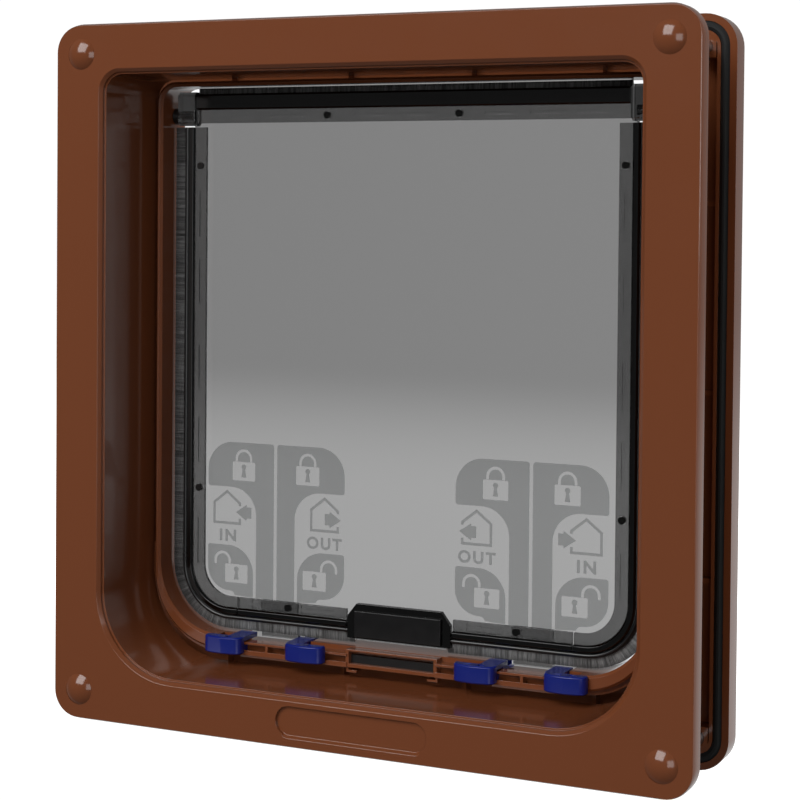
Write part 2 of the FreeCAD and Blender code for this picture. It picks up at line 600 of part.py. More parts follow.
def make_flap_panel():
    """Clear panel with its hinge blocks, magnet tongue and lock tabs."""
    body = plate(PANEL, PANEL_FRONT, PANEL_BACK)
    tongue = block(-TONGUE_HALF_WIDTH, TONGUE_HALF_WIDTH, PANEL_FRONT, PANEL_BACK, TONGUE_LOW,
                   PANEL_LOW + PAST)
    pieces = [tongue]
    hinge = block(BLOCK_INNER, BLOCK_OUTER, AXIS_DEPTH - BLOCK_AHEAD, AXIS_DEPTH + BLOCK_BEHIND,
                  AXIS_HEIGHT - BLOCK_BELOW, AXIS_HEIGHT + BLOCK_ABOVE)
    long_edges = [edge for edge in hinge.Edges if edge.BoundBox.XLength > LONG_EDGE]
    hinge = hinge.makeChamfer(BLOCK_BEVEL, long_edges)
    pieces += [hinge, mirrored(hinge)]
    for side in (-1, 1):
        centre = side * GROUP_CENTRE
        pieces.append(block(centre - LOCK_TAB_HALF, centre + LOCK_TAB_HALF, TAB_FRONT, TAB_BACK,
                            LOCK_TAB_LOW, LOCK_TAB_TOP))
    body = joined(body, *pieces)
    for side in (-1, 1):
        hole = PIN_RADIUS + HINGE_BORE_CLEARANCE
        start = side * (BLOCK_OUTER - PIN_GRIP - SEAT_GAP)
        body = body.cut(rod_across(start, side * (BLOCK_OUTER + PAST), hole, AXIS_DEPTH, AXIS_HEIGHT))
    return body


def make_hinge_pin():
    """Pivot pin on the right, with the collar that keeps the flap central."""
    pin = rod_across(BLOCK_OUTER - PIN_GRIP, COLLAR_HALF_WIDTH + PIN_REACH, PIN_RADIUS,
                     AXIS_DEPTH, AXIS_HEIGHT)
    spacer = rod_across(BLOCK_OUTER + SEAT_GAP, COLLAR_HALF_WIDTH - PIN_COLLAR_GAP, PIN_COLLAR_RADIUS,
                        AXIS_DEPTH, AXIS_HEIGHT)
    return joined(pin, spacer)


def rivet_places():
    """Heat-staked pegs that hold the strips: their centres, round the panel."""
    side_x = (STRIP_INNER + STRIP_OUTER - RIM_WIDTH) / 2
    low_z = (STRIP_INNER_LOW + STRIP_LOW + RIM_WIDTH) / 2
    top_z = (TOP_STRIP_LOW + TOP_BAR_LOW) / 2
    height = SIDE_STRIP_TOP - PANEL_LOW
    uprights = [(side * side_x, PANEL_LOW + share * height) for side in (-1, 1)
                for share in SIDE_RIVET_SHARES]
    top = [(share * PANEL_HALF_WIDTH, top_z) for share in TOP_RIVET_SHARES]
    sill = [(side * SILL_RIVET_SHARE * GROUP_CENTRE, low_z) for side in (-1, 1)]
    return uprights + top + sill


def peg(x, z, radius, start, end):
    """A many-sided peg along the depth."""
    turns = [2 * math.pi * index / RIVET_SIDES for index in range(RIVET_SIDES)]
    points = [(x + radius * math.cos(turn), z + radius * math.sin(turn)) for turn in turns]
    return prism_through(points, start, end)


def rivet_holes():
    radius = RIVET_RADIUS + RIVET_CLEARANCE
    return Part.makeCompound([peg(x, z, radius, RIM_FRONT - PAST, PANEL_FRONT) for x, z in rivet_places()])


def make_rivets():
    """All pegs of the flap, as one group of separate solids. They stand on the panel."""
    return Part.makeCompound([peg(x, z, RIVET_RADIUS, STRIP_FRONT - RIVET_HEAD, PANEL_FRONT)
                              for x, z in rivet_places()])


def strip_outlines():
    outer = (STRIP_OUTER, STRIP_LOW, PANEL_HIGH, STRIP_RADIUS, PANEL_RADIUS_HIGH)
    inner = (STRIP_INNER, STRIP_INNER_LOW, PANEL_HIGH - RIM_WIDTH, STRIP_INNER_RADIUS, PANEL_RADIUS_HIGH)
    return outer, inner


def strip_section():
    """The whole strip round the sides and the bottom, before it is divided."""
    outer, inner = strip_outlines()
    flat = ring(outer, inner, STRIP_FRONT, PANEL_FRONT)
    rim_inner = (STRIP_OUTER - RIM_WIDTH, STRIP_LOW + RIM_WIDTH, PANEL_HIGH - RIM_WIDTH,
                 STRIP_RADIUS - RIM_WIDTH, PANEL_RADIUS_HIGH)
    rim = ring(outer, rim_inner, RIM_FRONT, PANEL_FRONT)
    rim = rim.makeChamfer(RIM_HEIGHT / 3, edges_in_plane(rim, RIM_FRONT))
    return joined(flat, rim)


def slot(x, z, length, level, front):
    """A long thin groove moulded into a strip."""
    half = length / 2
    if level:
        cut = block(x - half, x + half, front, front + SLOT_DEPTH, z - SLOT_WIDTH / 2, z + SLOT_WIDTH / 2)
    else:
        cut = block(x - SLOT_WIDTH / 2, x + SLOT_WIDTH / 2, front, front + SLOT_DEPTH, z - half, z + half)
    return cut


def make_side_strip():
    """Right-hand strip: down the side and round the bottom corner."""
    window = block(STRIP_JOINT + STRIP_GAP / 2, STRIP_OUTER + PAST, 0, TOTAL_DEPTH, 0, SIDE_STRIP_TOP)
    strip = strip_section().common(window)
    x = (STRIP_INNER + STRIP_OUTER - RIM_WIDTH) / 2
    height = SIDE_STRIP_TOP - PANEL_LOW
    for share in SIDE_SLOT_SHARES:
        strip = strip.cut(slot(x, PANEL_LOW + share * height, SLOT_LENGTH, False, STRIP_FRONT))
    return strip.cut(rivet_holes())


def make_bottom_strip():
    """Right-hand bottom strip, from the magnet carrier to the corner strip."""
    window = block(CARRIER_BASE_HALF + STRIP_GAP, STRIP_JOINT - STRIP_GAP / 2, 0, TOTAL_DEPTH, 0,
                   STRIP_INNER_LOW + PAST)
    strip = strip_section().common(window)
    z = (STRIP_INNER_LOW + STRIP_LOW + RIM_WIDTH) / 2
    middle = (CARRIER_BASE_HALF + STRIP_JOINT) / 2
    for side in (-1, 1):
        place = middle + side * LEVEL_SLOT_PITCH / 2
        for lift in (-1, 1):
            strip = strip.cut(slot(place, z + lift * SLOT_WIDTH, LEVEL_SLOT_LENGTH, True, STRIP_FRONT))
    return strip.cut(rivet_holes())


def make_top_strip():
    """Strip under the top edge, with the thick bar that grips the top brush."""
    half = BLOCK_INNER - STRIP_GAP
    flat = block(-half, half, STRIP_FRONT, PANEL_FRONT, TOP_STRIP_LOW, PANEL_HIGH)
    bar = block(-half, half, PANEL_FRONT - TOP_BAR_THICKNESS, PANEL_FRONT, TOP_BAR_LOW, PANEL_HIGH)
    long_edges = [edge for edge in bar.Edges if edge.BoundBox.XLength > LONG_EDGE
                  and edge.BoundBox.YMax < at_depth(PANEL_FRONT) - NEAR]
    bar = bar.makeChamfer(TOP_BAR_THICKNESS / 4, long_edges)
    strip = joined(flat, bar)
    z = (TOP_STRIP_LOW + TOP_BAR_LOW) / 2
    for share in TOP_SLOT_SHARES:
        strip = strip.cut(slot(share * half, z, LEVEL_SLOT_LENGTH, True, STRIP_FRONT))
    return strip.cut(rivet_holes())


def brush_section():
    """Pile of the side and bottom brushes: a thin skirt round the panel's edge."""
    outer = (BRUSH_OUTER, BRUSH_LOW, BRUSH_HIGH, BRUSH_RADIUS, PANEL_RADIUS_HIGH)
    inner = grown(PANEL, BRUSH_ROOT_GAP)
    return ring(outer, inner, PANEL_FRONT, BRUSH_BACK)


def make_side_brush():
    window = block(STRIP_JOINT, BRUSH_OUTER + PAST, 0, TOTAL_DEPTH, 0, SIDE_STRIP_TOP)
    return brush_section().common(window)


def make_bottom_brush():
    window = block(TONGUE_HALF_WIDTH + BRUSH_ROOT_GAP, STRIP_JOINT, 0, TOTAL_DEPTH, 0,
                   STRIP_INNER_LOW + PAST)
    return brush_section().common(window)


def make_top_brush():
    half = BLOCK_INNER - STRIP_GAP
    return block(-half, half, PANEL_FRONT, BRUSH_BACK, PANEL_HIGH, BRUSH_HIGH)


def make_magnet_carrier():
    """Dark housing with sloping shoulders that holds the flap's magnet."""
    front = PANEL_FRONT - CARRIER_THICKNESS
    shoulder = CARRIER_LOW + CARRIER_SHOULDER
    high = CARRIER_LOW + CARRIER_HEIGHT
    profile = [
        (-CARRIER_BASE_HALF, CARRIER_LOW), (CARRIER_BASE_HALF, CARRIER_LOW),
        (CARRIER_BASE_HALF, shoulder), (CARRIER_TOP_HALF, high),
        (-CARRIER_TOP_HALF, high), (-CARRIER_BASE_HALF, shoulder),
    ]
    body = prism_through(profile, front, PANEL_FRONT)
    half = MAGNET_HALF_WIDTH + SEAT_GAP
    pocket = block(-half, half, front - PAST, PANEL_FRONT - CARRIER_FLOOR, MAGNET_LOW - SEAT_GAP,
                   MAGNET_HIGH + SEAT_GAP)
    return body.cut(pocket)


def make_flap_magnet():
    """Black magnet block in the carrier, standing a little proud of it."""
    back = PANEL_FRONT - CARRIER_FLOOR
    return block(-MAGNET_HALF_WIDTH, MAGNET_HALF_WIDTH, back - MAGNET_THICKNESS, back,
                 MAGNET_LOW, MAGNET_HIGH)


def arrow(centre, direction, top):
    """A small arrow head, sunk into the top of a latch."""
    middle = (LATCH_FRONT + RAIL_FRONT) / 2
    points = [
        (centre + direction * LATCH_ARROW_REACH, middle),
        (centre + direction * LATCH_ARROW_REACH / 3, middle - LATCH_ARROW_HALF),
        (centre + direction * LATCH_ARROW_REACH / 3, middle + LATCH_ARROW_HALF),
    ]
    return prism_up(points, top - LATCH_ARROW_DEPTH, top + PAST)


def latch_knob(centre):
    """The finger knob of a latch, with a faceted front and softened edges."""
    half = LATCH_HALF_WIDTH
    facet = half - LATCH_CHEEK_WIDTH
    outline = [
        (-half, LATCH_BACK), (-half, LATCH_FRONT + LATCH_CHEEK), (-facet, LATCH_FRONT + LATCH_NOSE),
        (0.0, LATCH_FRONT), (facet, LATCH_FRONT + LATCH_NOSE), (half, LATCH_FRONT + LATCH_CHEEK),
        (half, LATCH_BACK),
    ]
    knob = prism_up([(centre + x, depth) for x, depth in outline], LATCH_LOW, LATCH_HIGH)
    ahead = at_depth(LATCH_BACK) - NEAR
    uprights = [edge for edge in knob.Edges
                if edge.BoundBox.ZLength > LONG_EDGE and edge.BoundBox.YMax < ahead]
    knob = knob.makeChamfer(LATCH_BEVEL, uprights)
    rims = [edge for edge in knob.Edges if edge.BoundBox.ZLength < 1e-4 and edge.BoundBox.YMin < ahead]
    return knob.makeChamfer(LATCH_RIM_BEVEL, rims)


def make_latch(side, locks_out):
    """A sliding latch in its open place. One stops the flap coming in, one going out."""
    towards = side if locks_out else -side
    centre = side * (GROUP_CENTRE - LATCH_SPREAD) if locks_out else side * (GROUP_CENTRE + LATCH_SPREAD)
    tip = centre + towards * LATCH_HALF_WIDTH
    root = tip - towards * LATCH_ARM_WIDTH
    foot_tip = tip - towards * LATCH_BEVEL
    foot_root = foot_tip - towards * LATCH_FOOT_LENGTH
    foot_front = RAIL_FRONT + RAIL_LIP_WALL + LATCH_CLEARANCE
    foot_back = RAIL_BACK - RAIL_LIP_WALL - LATCH_CLEARANCE
    foot_low = RAIL_LOW + RAIL_WALL + LATCH_CLEARANCE
    neck_low = RAIL_LIP_HIGH + LATCH_CLEARANCE
    neck_high = RAIL_HIGH - RAIL_WALL - LATCH_CLEARANCE
    inside = LATCH_BACK - LATCH_BEVEL
    neck = block(foot_root, foot_tip, inside, foot_back, neck_low, neck_high)
    foot = block(foot_root, foot_tip, foot_front, foot_back, foot_low, neck_high)
    arm_low = RAIL_HIGH + LATCH_CLEARANCE
    arm_back = TAB_FRONT - TOOTH_CLEARANCE
    arm = block(root, tip, inside, arm_back, arm_low, LATCH_HIGH)
    pieces = [neck, foot, arm]
    if locks_out:
        tooth_front = TAB_BACK + TOOTH_CLEARANCE
        tooth_back = tooth_front + TOOTH_THICKNESS
        drop_front = RAIL_BACK + LATCH_CLEARANCE
        bridge_low = NOTCH_FLOOR + LATCH_CLEARANCE
        bridge_high = LOCK_TAB_LOW - LATCH_CLEARANCE
        pieces.append(block(root, tip, drop_front, arm_back, bridge_low, LATCH_HIGH))
        pieces.append(block(root, tip, drop_front, tooth_back, bridge_low, bridge_high))
        pieces.append(block(root, tip, tooth_front, tooth_back, bridge_low, LATCH_HIGH))
    body = joined(latch_knob(centre), *pieces)
    return body.cut(arrow(centre, 1, LATCH_HIGH)).cut(arrow(centre, -1, LATCH_HIGH))


CORNER_NAMES = ["top_left", "top_right", "bottom_left", "bottom_right"]

save(make_inner_frame(), "inner_frame")
save(make_outer_frame(), "outer_frame")
save(make_gasket(), "gasket")
save(Part.makeCompound([make_fixing_screw(x, z) for x, z in SCREW_PLACES]), "fixing_screws")
for corner_name, (cap_x, cap_z) in zip(CORNER_NAMES, SCREW_PLACES):
    save(make_screw_cap(cap_x, cap_z), "screw_cap_" + corner_name)
save(make_lock_rail(), "lock_rail")
save(make_frame_magnet(), "frame_magnet")

save(make_flap_panel(), "flap_panel")
save(make_top_strip(), "strip_top")
save(make_top_brush(), "brush_top")
save(make_magnet_carrier(), "magnet_carrier")
save(make_flap_magnet(), "flap_magnet")
save(make_rivets(), "flap_rivets")
PAIRED = {
    "hinge_pin": make_hinge_pin(),
    "strip_side": make_side_strip(),
    "strip_bottom": make_bottom_strip(),
    "brush_side": make_side_brush(),
    "brush_bottom": make_bottom_brush(),
}
for pair_name, right_piece in PAIRED.items():
    save(right_piece, pair_name + "_right")
    save(mirrored(right_piece), pair_name + "_left")

for side_name, latch_side in (("left", -1), ("right", 1)):
    save(make_latch(latch_side, False), "latch_in_" + side_name)
    save(make_latch(latch_side, True), "latch_out_" + side_name)
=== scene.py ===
# %% [markdown]
# # A cat flap, dressed for its portrait
#
# The solids of the cat flap come from the CAD frame. This notebook gives them their
# finishes, softens the moulded edges, replaces the plain brush solids by bundles of
# fibres, prints the signs on the clear flap, and sets up floor, lights and camera.
# Lengths are in metres, as in the frame. MM turns a drawing's millimetres into them.

# %% Load the frame
import math
import random

import bpy
from mathutils import Matrix, Vector


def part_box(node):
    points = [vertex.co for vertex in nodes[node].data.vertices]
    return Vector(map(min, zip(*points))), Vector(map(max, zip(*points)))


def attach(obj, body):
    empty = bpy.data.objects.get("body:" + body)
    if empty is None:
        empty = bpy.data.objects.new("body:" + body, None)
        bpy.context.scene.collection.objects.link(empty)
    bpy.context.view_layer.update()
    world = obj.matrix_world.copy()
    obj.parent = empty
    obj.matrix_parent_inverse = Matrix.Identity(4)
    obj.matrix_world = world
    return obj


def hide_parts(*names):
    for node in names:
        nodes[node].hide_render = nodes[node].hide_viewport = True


MM = 0.001
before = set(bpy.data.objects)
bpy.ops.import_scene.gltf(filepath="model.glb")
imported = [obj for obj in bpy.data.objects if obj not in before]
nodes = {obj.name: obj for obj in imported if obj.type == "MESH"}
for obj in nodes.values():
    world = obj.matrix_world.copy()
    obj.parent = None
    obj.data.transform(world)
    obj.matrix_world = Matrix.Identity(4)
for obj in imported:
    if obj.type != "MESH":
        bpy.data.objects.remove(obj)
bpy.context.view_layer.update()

# %% [markdown]
# A drawing of this object gives depths from the face of the inner flange. The cap
# domes stand a little in front of that face, so its place in Y is read from the
# inner frame's box and not written down twice.

# %% Places that the rest of the notebook shares
flange_low, flange_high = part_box("inner_frame")
strip_low, strip_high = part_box("strip_side_right")
FACE_Y = flange_low[1]
print("flange face at y =", round(FACE_Y / MM, 2), "mm")


def clear_selection():
    if bpy.context.object and bpy.context.object.mode != "OBJECT":
        bpy.ops.object.mode_set(mode="OBJECT")
    bpy.ops.object.select_all(action="DESELECT")


def pick(thing):
    """Selects one object alone and makes it the active one."""
    clear_selection()
    thing.select_set(True)
    bpy.context.view_layer.objects.active = thing


# %% [markdown]
# The camera stands where the photographer stood: over half a metre from the flap,
# to the right of it, looking down by a degree and a half. A long lens keeps the
# object's sides nearly parallel, and a shift frames it without tilting the view.

# %% Camera
CAMERA_PLACE = Vector((0.2468, -0.5115, 0.1543))
LOOKING = Vector((-0.42493, 0.90487, -0.02579)).normalized()
ACROSS = Vector((0.90504, 0.42525, 0.00855)).normalized()
SENSOR_WIDTH = 36.0
LENS = 88.9
SHIFT = (-0.005, -0.177)

clear_selection()
bpy.ops.object.camera_add()
camera = bpy.context.object
camera.name = "photographer"
camera.data.sensor_width = SENSOR_WIDTH
camera.data.lens = LENS
camera.data.shift_x, camera.data.shift_y = SHIFT
above = ACROSS.cross(LOOKING)
turn = Matrix((ACROSS, above, -LOOKING)).transposed()
camera.matrix_world = Matrix.Translation(CAMERA_PLACE) @ turn.to_4x4()
bpy.context.scene.camera = camera
print("camera at", [round(value, 3) for value in CAMERA_PLACE])

# %% [markdown]
# Colours are written as the sRGB hex values that one reads off a picture. Cycles
# mixes light in linear values, so one function turns a hex value into them. A
# second small function adds a node to a material with its settings and its links.

# %% Colour and node helpers
def colour(hex_value):
    """A linear RGBA colour from an sRGB hex value."""
    channels = [int(hex_value[place:place + 2], 16) / 255 for place in (1, 3, 5)]
    linear = [c / 12.92 if c <= 0.04045 else ((c + 0.055) / 1.055) ** 2.4 for c in channels]
    return (*linear, 1.0)


def add_node(material, kind, settings=None, links=None):
    """Adds a node, sets its sockets or fields by name, and links its inputs."""
    node = material.node_tree.nodes.new(kind)
    for name, value in (settings or {}).items():
        if name in node.inputs:
            node.inputs[name].default_value = value
        else:
            setattr(node, name, value)
    for name, source in (links or {}).items():
        material.node_tree.links.new(source, node.inputs[name])
    return node


def plain_material(name, settings):
    """A material with one Principled shader and these sockets set on it."""
    material = bpy.data.materials.new(name)
    material.use_nodes = True
    shader = material.node_tree.nodes["Principled BSDF"]
    for socket, value in settings.items():
        shader.inputs[socket].default_value = value
    return material, shader


def add_grain(material, shader, size, depth):
    """A fine moulded grain: noise of a real size in metres drives a shallow bump."""
    places = add_node(material, "ShaderNodeTexCoord")
    noise = add_node(material, "ShaderNodeTexNoise", {"Scale": 1 / size, "Detail": 2.0},
                     {"Vector": places.outputs["Object"]})
    bump = add_node(material, "ShaderNodeBump", {"Strength": 0.5, "Distance": depth},
                    {"Height": noise.outputs[0]})
    material.node_tree.links.new(bump.outputs["Normal"], shader.inputs["Normal"])


def add_uneven_gloss(material, shader, size, low, high):
    """Gloss that wanders a little, as on a moulding that was handled and wiped."""
    places = add_node(material, "ShaderNodeTexCoord")
    noise = add_node(material, "ShaderNodeTexNoise", {"Scale": 1 / size, "Detail": 3.0},
                     {"Vector": places.outputs["Object"]})
    spread = add_node(material, "ShaderNodeMapRange", {"To Min": low, "To Max": high},
                      {"Value": noise.outputs[0]})
    material.node_tree.links.new(spread.outputs[0], shader.inputs["Roughness"])


def add_absorption(material, share_left, thickness):
    """Smoke tint inside clear plastic: this share of light is left after a thickness."""
    tint = add_node(material, "ShaderNodeVolumeAbsorption", {
        "Color": (0, 0, 0, 1), "Density": -math.log(share_left) / thickness})
    output = material.node_tree.nodes["Material Output"]
    material.node_tree.links.new(tint.outputs[0], output.inputs["Volume"])


# %% [markdown]
# Both frames are ABS, injection moulded in polished tools, in a warm brown. The
# surface mirrors the blue sliders in the floor of the tunnel, so it is nearly a
# polish, with a trace of grain and a gloss that wanders from place to place. To the
# eye that is a deep, warm brown with soft-edged highlights. ABS has an IOR of about
# 1.5, and a real grain of less than a tenth of a millimetre is too fine to show, so
# it is drawn at 0.6 mm.

# %% Brown ABS
brown_abs, shader = plain_material("brown_abs_polished", {
    "Base Color": colour("#6E3D24"), "IOR": 1.5})
add_grain(brown_abs, shader, 0.6 * MM, 0.001 * MM)
add_uneven_gloss(brown_abs, shader, 14 * MM, 0.08, 0.17)

# %% [markdown]
# The flap is polycarbonate tinted smoke grey, with polished faces. The tint sits in
# the plastic and not on it: 2.2 mm of panel let about a quarter of the light
# through, while the thick hinge blocks look nearly black between their bright edges.
# Volume absorption does that by itself, as a flat tint can't.

# %% Smoke polycarbonate
PANEL_THICKNESS = 2.2 * MM
LIGHT_LEFT = 0.24
clear_polycarbonate, shader = plain_material("smoke_polycarbonate_polished", {
    "Base Color": (1, 1, 1, 1), "IOR": 1.58, "Transmission Weight": 1.0})
add_absorption(clear_polycarbonate, LIGHT_LEFT, PANEL_THICKNESS)
add_uneven_gloss(clear_polycarbonate, shader, 30 * MM, 0.01, 0.03)

# %% [markdown]
# The seal strips are polycarbonate too, in a darker smoke. Their flats let some light
# in, while the thicker rims and the top bar look black. The flats lie further back
# than the rims, so the tint is laid out by the depth of the surface: black on the
# rims, a dark smoke on the flats, clear at the back.

# %% Dark strips
RIM_END, FLAT_START = 12.5 * MM, 12.65 * MM
BACK_START, BACK_END = 13.4 * MM, 13.6 * MM
FLAT_TINT = 0.075
dark_strip, shader = plain_material("dark_smoke_polycarbonate", {
    "IOR": 1.58, "Transmission Weight": 1.0})
places = add_node(dark_strip, "ShaderNodeTexCoord")
split = add_node(dark_strip, "ShaderNodeSeparateXYZ", links={"Vector": places.outputs["Object"]})
flat = add_node(dark_strip, "ShaderNodeMapRange", {
    "interpolation_type": "SMOOTHSTEP", "From Min": RIM_END, "From Max": FLAT_START,
    "To Max": FLAT_TINT}, {"Value": split.outputs["Y"]})
tint = add_node(dark_strip, "ShaderNodeMapRange", {
    "interpolation_type": "SMOOTHSTEP", "From Min": BACK_START, "From Max": BACK_END,
    "To Max": 1.0}, {"Value": split.outputs["Y"], "To Min": flat.outputs[0]})
dark_strip.node_tree.links.new(tint.outputs[0], shader.inputs["Base Color"])
add_uneven_gloss(dark_strip, shader, 9 * MM, 0.06, 0.16)

# %% [markdown]
# The sliders are acetal, dyed a deep ultramarine, with the satin face of a fine
# eroded mould, which spreads their highlights. The magnets are black ferrite in a
# lacquer, the pins are black acetal, and the screws are zinc plated steel with the
# uneven shine of a plated thread. The cord is closed-cell foam rubber, dull and a
# little rough. The lip along the strips is black: partly the strips' own dark edge,
# partly painted shade at the roots of the pile.

# %% Sliders, magnets, pins, screws, foam and lip
blue_slider, shader = plain_material("ultramarine_acetal", {
    "Base Color": colour("#121F6C"), "IOR": 1.48})
add_grain(blue_slider, shader, 0.25 * MM, 0.004 * MM)
add_uneven_gloss(blue_slider, shader, 5 * MM, 0.16, 0.24)
magnet_ferrite, shader = plain_material("lacquered_ferrite", {
    "Base Color": colour("#0B0B0C"), "IOR": 1.5})
add_grain(magnet_ferrite, shader, 0.3 * MM, 0.01 * MM)
add_uneven_gloss(magnet_ferrite, shader, 4 * MM, 0.25, 0.4)
pivot_acetal, shader = plain_material("black_acetal", {
    "Base Color": colour("#161616"), "IOR": 1.48})
add_uneven_gloss(pivot_acetal, shader, 3 * MM, 0.3, 0.42)
zinc_screw, shader = plain_material("zinc_plated_steel", {
    "Base Color": colour("#B9BCC0"), "Metallic": 1.0})
add_uneven_gloss(zinc_screw, shader, 2 * MM, 0.25, 0.4)
foam_cord, shader = plain_material("closed_cell_foam", {
    "Base Color": colour("#171818"), "Roughness": 0.8, "IOR": 1.45})
add_grain(foam_cord, shader, 0.5 * MM, 0.08 * MM)
black_lip, shader = plain_material("black_lip_and_root_shade", {
    "Base Color": colour("#0C0C0D"), "IOR": 1.5})
add_uneven_gloss(black_lip, shader, 4 * MM, 0.24, 0.36)

# %% [markdown]
# The pile is grey nylon. No two hairs catch the same light, so each hair carries a
# shade of its own in its mesh, and the material spreads that between a dark and a
# light grey. What has no shade, the heart, takes the dark grey: painted shade for
# the dense middle of the pile.

# %% Nylon pile
# PILE_DARK is also the colour of the heart, a painted shade inside the pile.
PILE_DARK, PILE_LIGHT = 0.025, 0.25
brush_pile, shader = plain_material("nylon_pile", {"Roughness": 0.55, "IOR": 1.53})
shade = add_node(brush_pile, "ShaderNodeAttribute", {"attribute_name": "hair_shade"})
spread = add_node(brush_pile, "ShaderNodeMapRange", {"To Min": PILE_DARK, "To Max": PILE_LIGHT},
                  {"Value": shade.outputs["Fac"]})
brush_pile.node_tree.links.new(spread.outputs[0], shader.inputs["Base Color"])

# %% [markdown]
# Every CAD node gets one of these finishes by the slot names in the table below, so
# that the list says what each piece of the real object is made of.

# %% Dress the CAD nodes
FINISH_OF = {
    "inner_frame": "brown_abs", "outer_frame": "brown_abs", "lock_rail": "brown_abs",
    "screw_cap_top_left": "brown_abs", "screw_cap_top_right": "brown_abs",
    "screw_cap_bottom_left": "brown_abs", "screw_cap_bottom_right": "brown_abs",
    "gasket": "foam_cord", "fixing_screws": "zinc_screw",
    "frame_magnet": "magnet_ferrite", "flap_magnet": "magnet_ferrite",
    "flap_panel": "clear_polycarbonate",
    "strip_top": "tinted_strip", "strip_side_left": "tinted_strip",
    "strip_side_right": "tinted_strip", "strip_bottom_left": "tinted_strip",
    "strip_bottom_right": "tinted_strip", "magnet_carrier": "tinted_strip",
    "flap_rivets": "tinted_strip",
    "hinge_pin_left": "pivot_acetal", "hinge_pin_right": "pivot_acetal",
    "latch_in_left": "blue_slider", "latch_out_left": "blue_slider",
    "latch_in_right": "blue_slider", "latch_out_right": "blue_slider",
    "brush_top": "brush_pile", "brush_side_left": "brush_pile",
    "brush_side_right": "brush_pile", "brush_bottom_left": "brush_pile",
    "brush_bottom_right": "brush_pile",
}
MATERIAL_OF = {
    "brown_abs": brown_abs, "clear_polycarbonate": clear_polycarbonate,
    "tinted_strip": dark_strip, "brush_pile": brush_pile, "blue_slider": blue_slider,
    "foam_cord": foam_cord, "zinc_screw": zinc_screw, "magnet_ferrite": magnet_ferrite,
    "pivot_acetal": pivot_acetal,
}


def dress(thing, slot_name):
    thing.data.materials.clear()
    thing.data.materials.append(MATERIAL_OF[slot_name])


for node_name, slot_name in FINISH_OF.items():
    dress(nodes[node_name], slot_name)
print("dressed", len(FINISH_OF), "nodes")

# %% [markdown]
# A mould leaves no sharp edge. The solids have plain bevels to stay light, so the
# moulded pieces that the camera sees from close are copied, their loose triangles
# are merged into faces, and a Bevel modifier rounds the edges of the copy. On the
# two flanges the plain bevel is wide: its front loop is first spread outwards, so
# that the rounded edge turns as tightly as the real one. Weighted normals then keep
# the large faces flat: without them the light would bend across a whole face.

# %% Round the moulded edges
BODY_OF = {
    "latch_in_left": "left_in_latch", "latch_out_left": "left_out_latch",
    "latch_in_right": "right_in_latch", "latch_out_right": "right_out_latch",
    "inner_frame": "frame", "outer_frame": "frame", "lock_rail": "frame",
}
PLAIN_BEVEL = 1.3 * MM
TIGHT_BEVEL = 0.55 * MM
RIM_ZONE = 4.0 * MM
AIR_GAP = 0.04 * MM
SAME_DEPTH = 0.01 * MM
SMOOTH_BELOW = math.radians(28)


def merged_copy(node_name):
    """A copy of a CAD node whose loose triangles are merged into faces."""
    piece = bpy.data.objects.new(node_name + "_moulded", nodes[node_name].data.copy())
    bpy.context.scene.collection.objects.link(piece)
    pick(piece)
    bpy.ops.object.mode_set(mode="EDIT")
    bpy.ops.mesh.select_all(action="SELECT")
    bpy.ops.mesh.remove_doubles(threshold=0.001 * MM)
    bpy.ops.mesh.dissolve_limited(angle_limit=math.radians(0.5))
    bpy.ops.mesh.select_all(action="DESELECT")
    bpy.ops.object.mode_set(mode="OBJECT")
    return piece


def tighten_rim(piece, depth):
    """Spreads the outer loop of a flange that lies at this depth."""
    half = (flange_high[0] - flange_low[0]) / 2
    middle = (flange_high[2] + flange_low[2]) / 2
    tall = (flange_high[2] - flange_low[2]) / 2
    wider = (half - TIGHT_BEVEL) / (half - PLAIN_BEVEL)
    taller = (tall - TIGHT_BEVEL) / (tall - PLAIN_BEVEL)
    for vertex in piece.data.vertices:
        beside = abs(vertex.co.x) > half - RIM_ZONE
        above_or_below = abs(vertex.co.z - middle) > tall - RIM_ZONE
        vertex.select = (beside or above_or_below) and abs(vertex.co.y - depth) < SAME_DEPTH
    pick(piece)
    bpy.ops.object.mode_set(mode="EDIT")
    bpy.ops.transform.resize(value=(wider, 1, taller), center_override=(0, depth, middle))
    bpy.ops.object.mode_set(mode="OBJECT")


def lift_off(piece, depth):
    """Moves the faces that touch the panel forwards by a hair, so that light can cross."""
    for vertex in piece.data.vertices:
        if abs(vertex.co.y - depth) < SAME_DEPTH:
            vertex.co.y -= AIR_GAP


def round_edges(piece, width, segments, sharpest=25):
    pick(piece)
    bevel = piece.modifiers.new("moulded edge", "BEVEL")
    bevel.width = width
    bevel.segments = segments
    bevel.limit_method = "ANGLE"
    bevel.angle_limit = math.radians(sharpest)
    bpy.ops.object.modifier_apply(modifier=bevel.name)
    bpy.ops.object.shade_smooth_by_angle(angle=SMOOTH_BELOW)
    weigh = piece.modifiers.new("large faces stay flat", "WEIGHTED_NORMAL")
    weigh.weight = 100
    weigh.keep_sharp = True
    bpy.ops.object.modifier_apply(modifier=weigh.name)


def soften(node_name, width, segments, rim_depth=None):
    """A copy of a CAD node with rounded edges, which then stands for the node."""
    piece = merged_copy(node_name)
    if rim_depth is not None:
        tighten_rim(piece, rim_depth)
    if FINISH_OF[node_name] == "tinted_strip":
        lift_off(piece, strip_high[1])
    round_edges(piece, width, segments)
    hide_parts(node_name)
    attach(piece, BODY_OF.get(node_name, "flap"))
    dress(piece, FINISH_OF[node_name])
    return piece


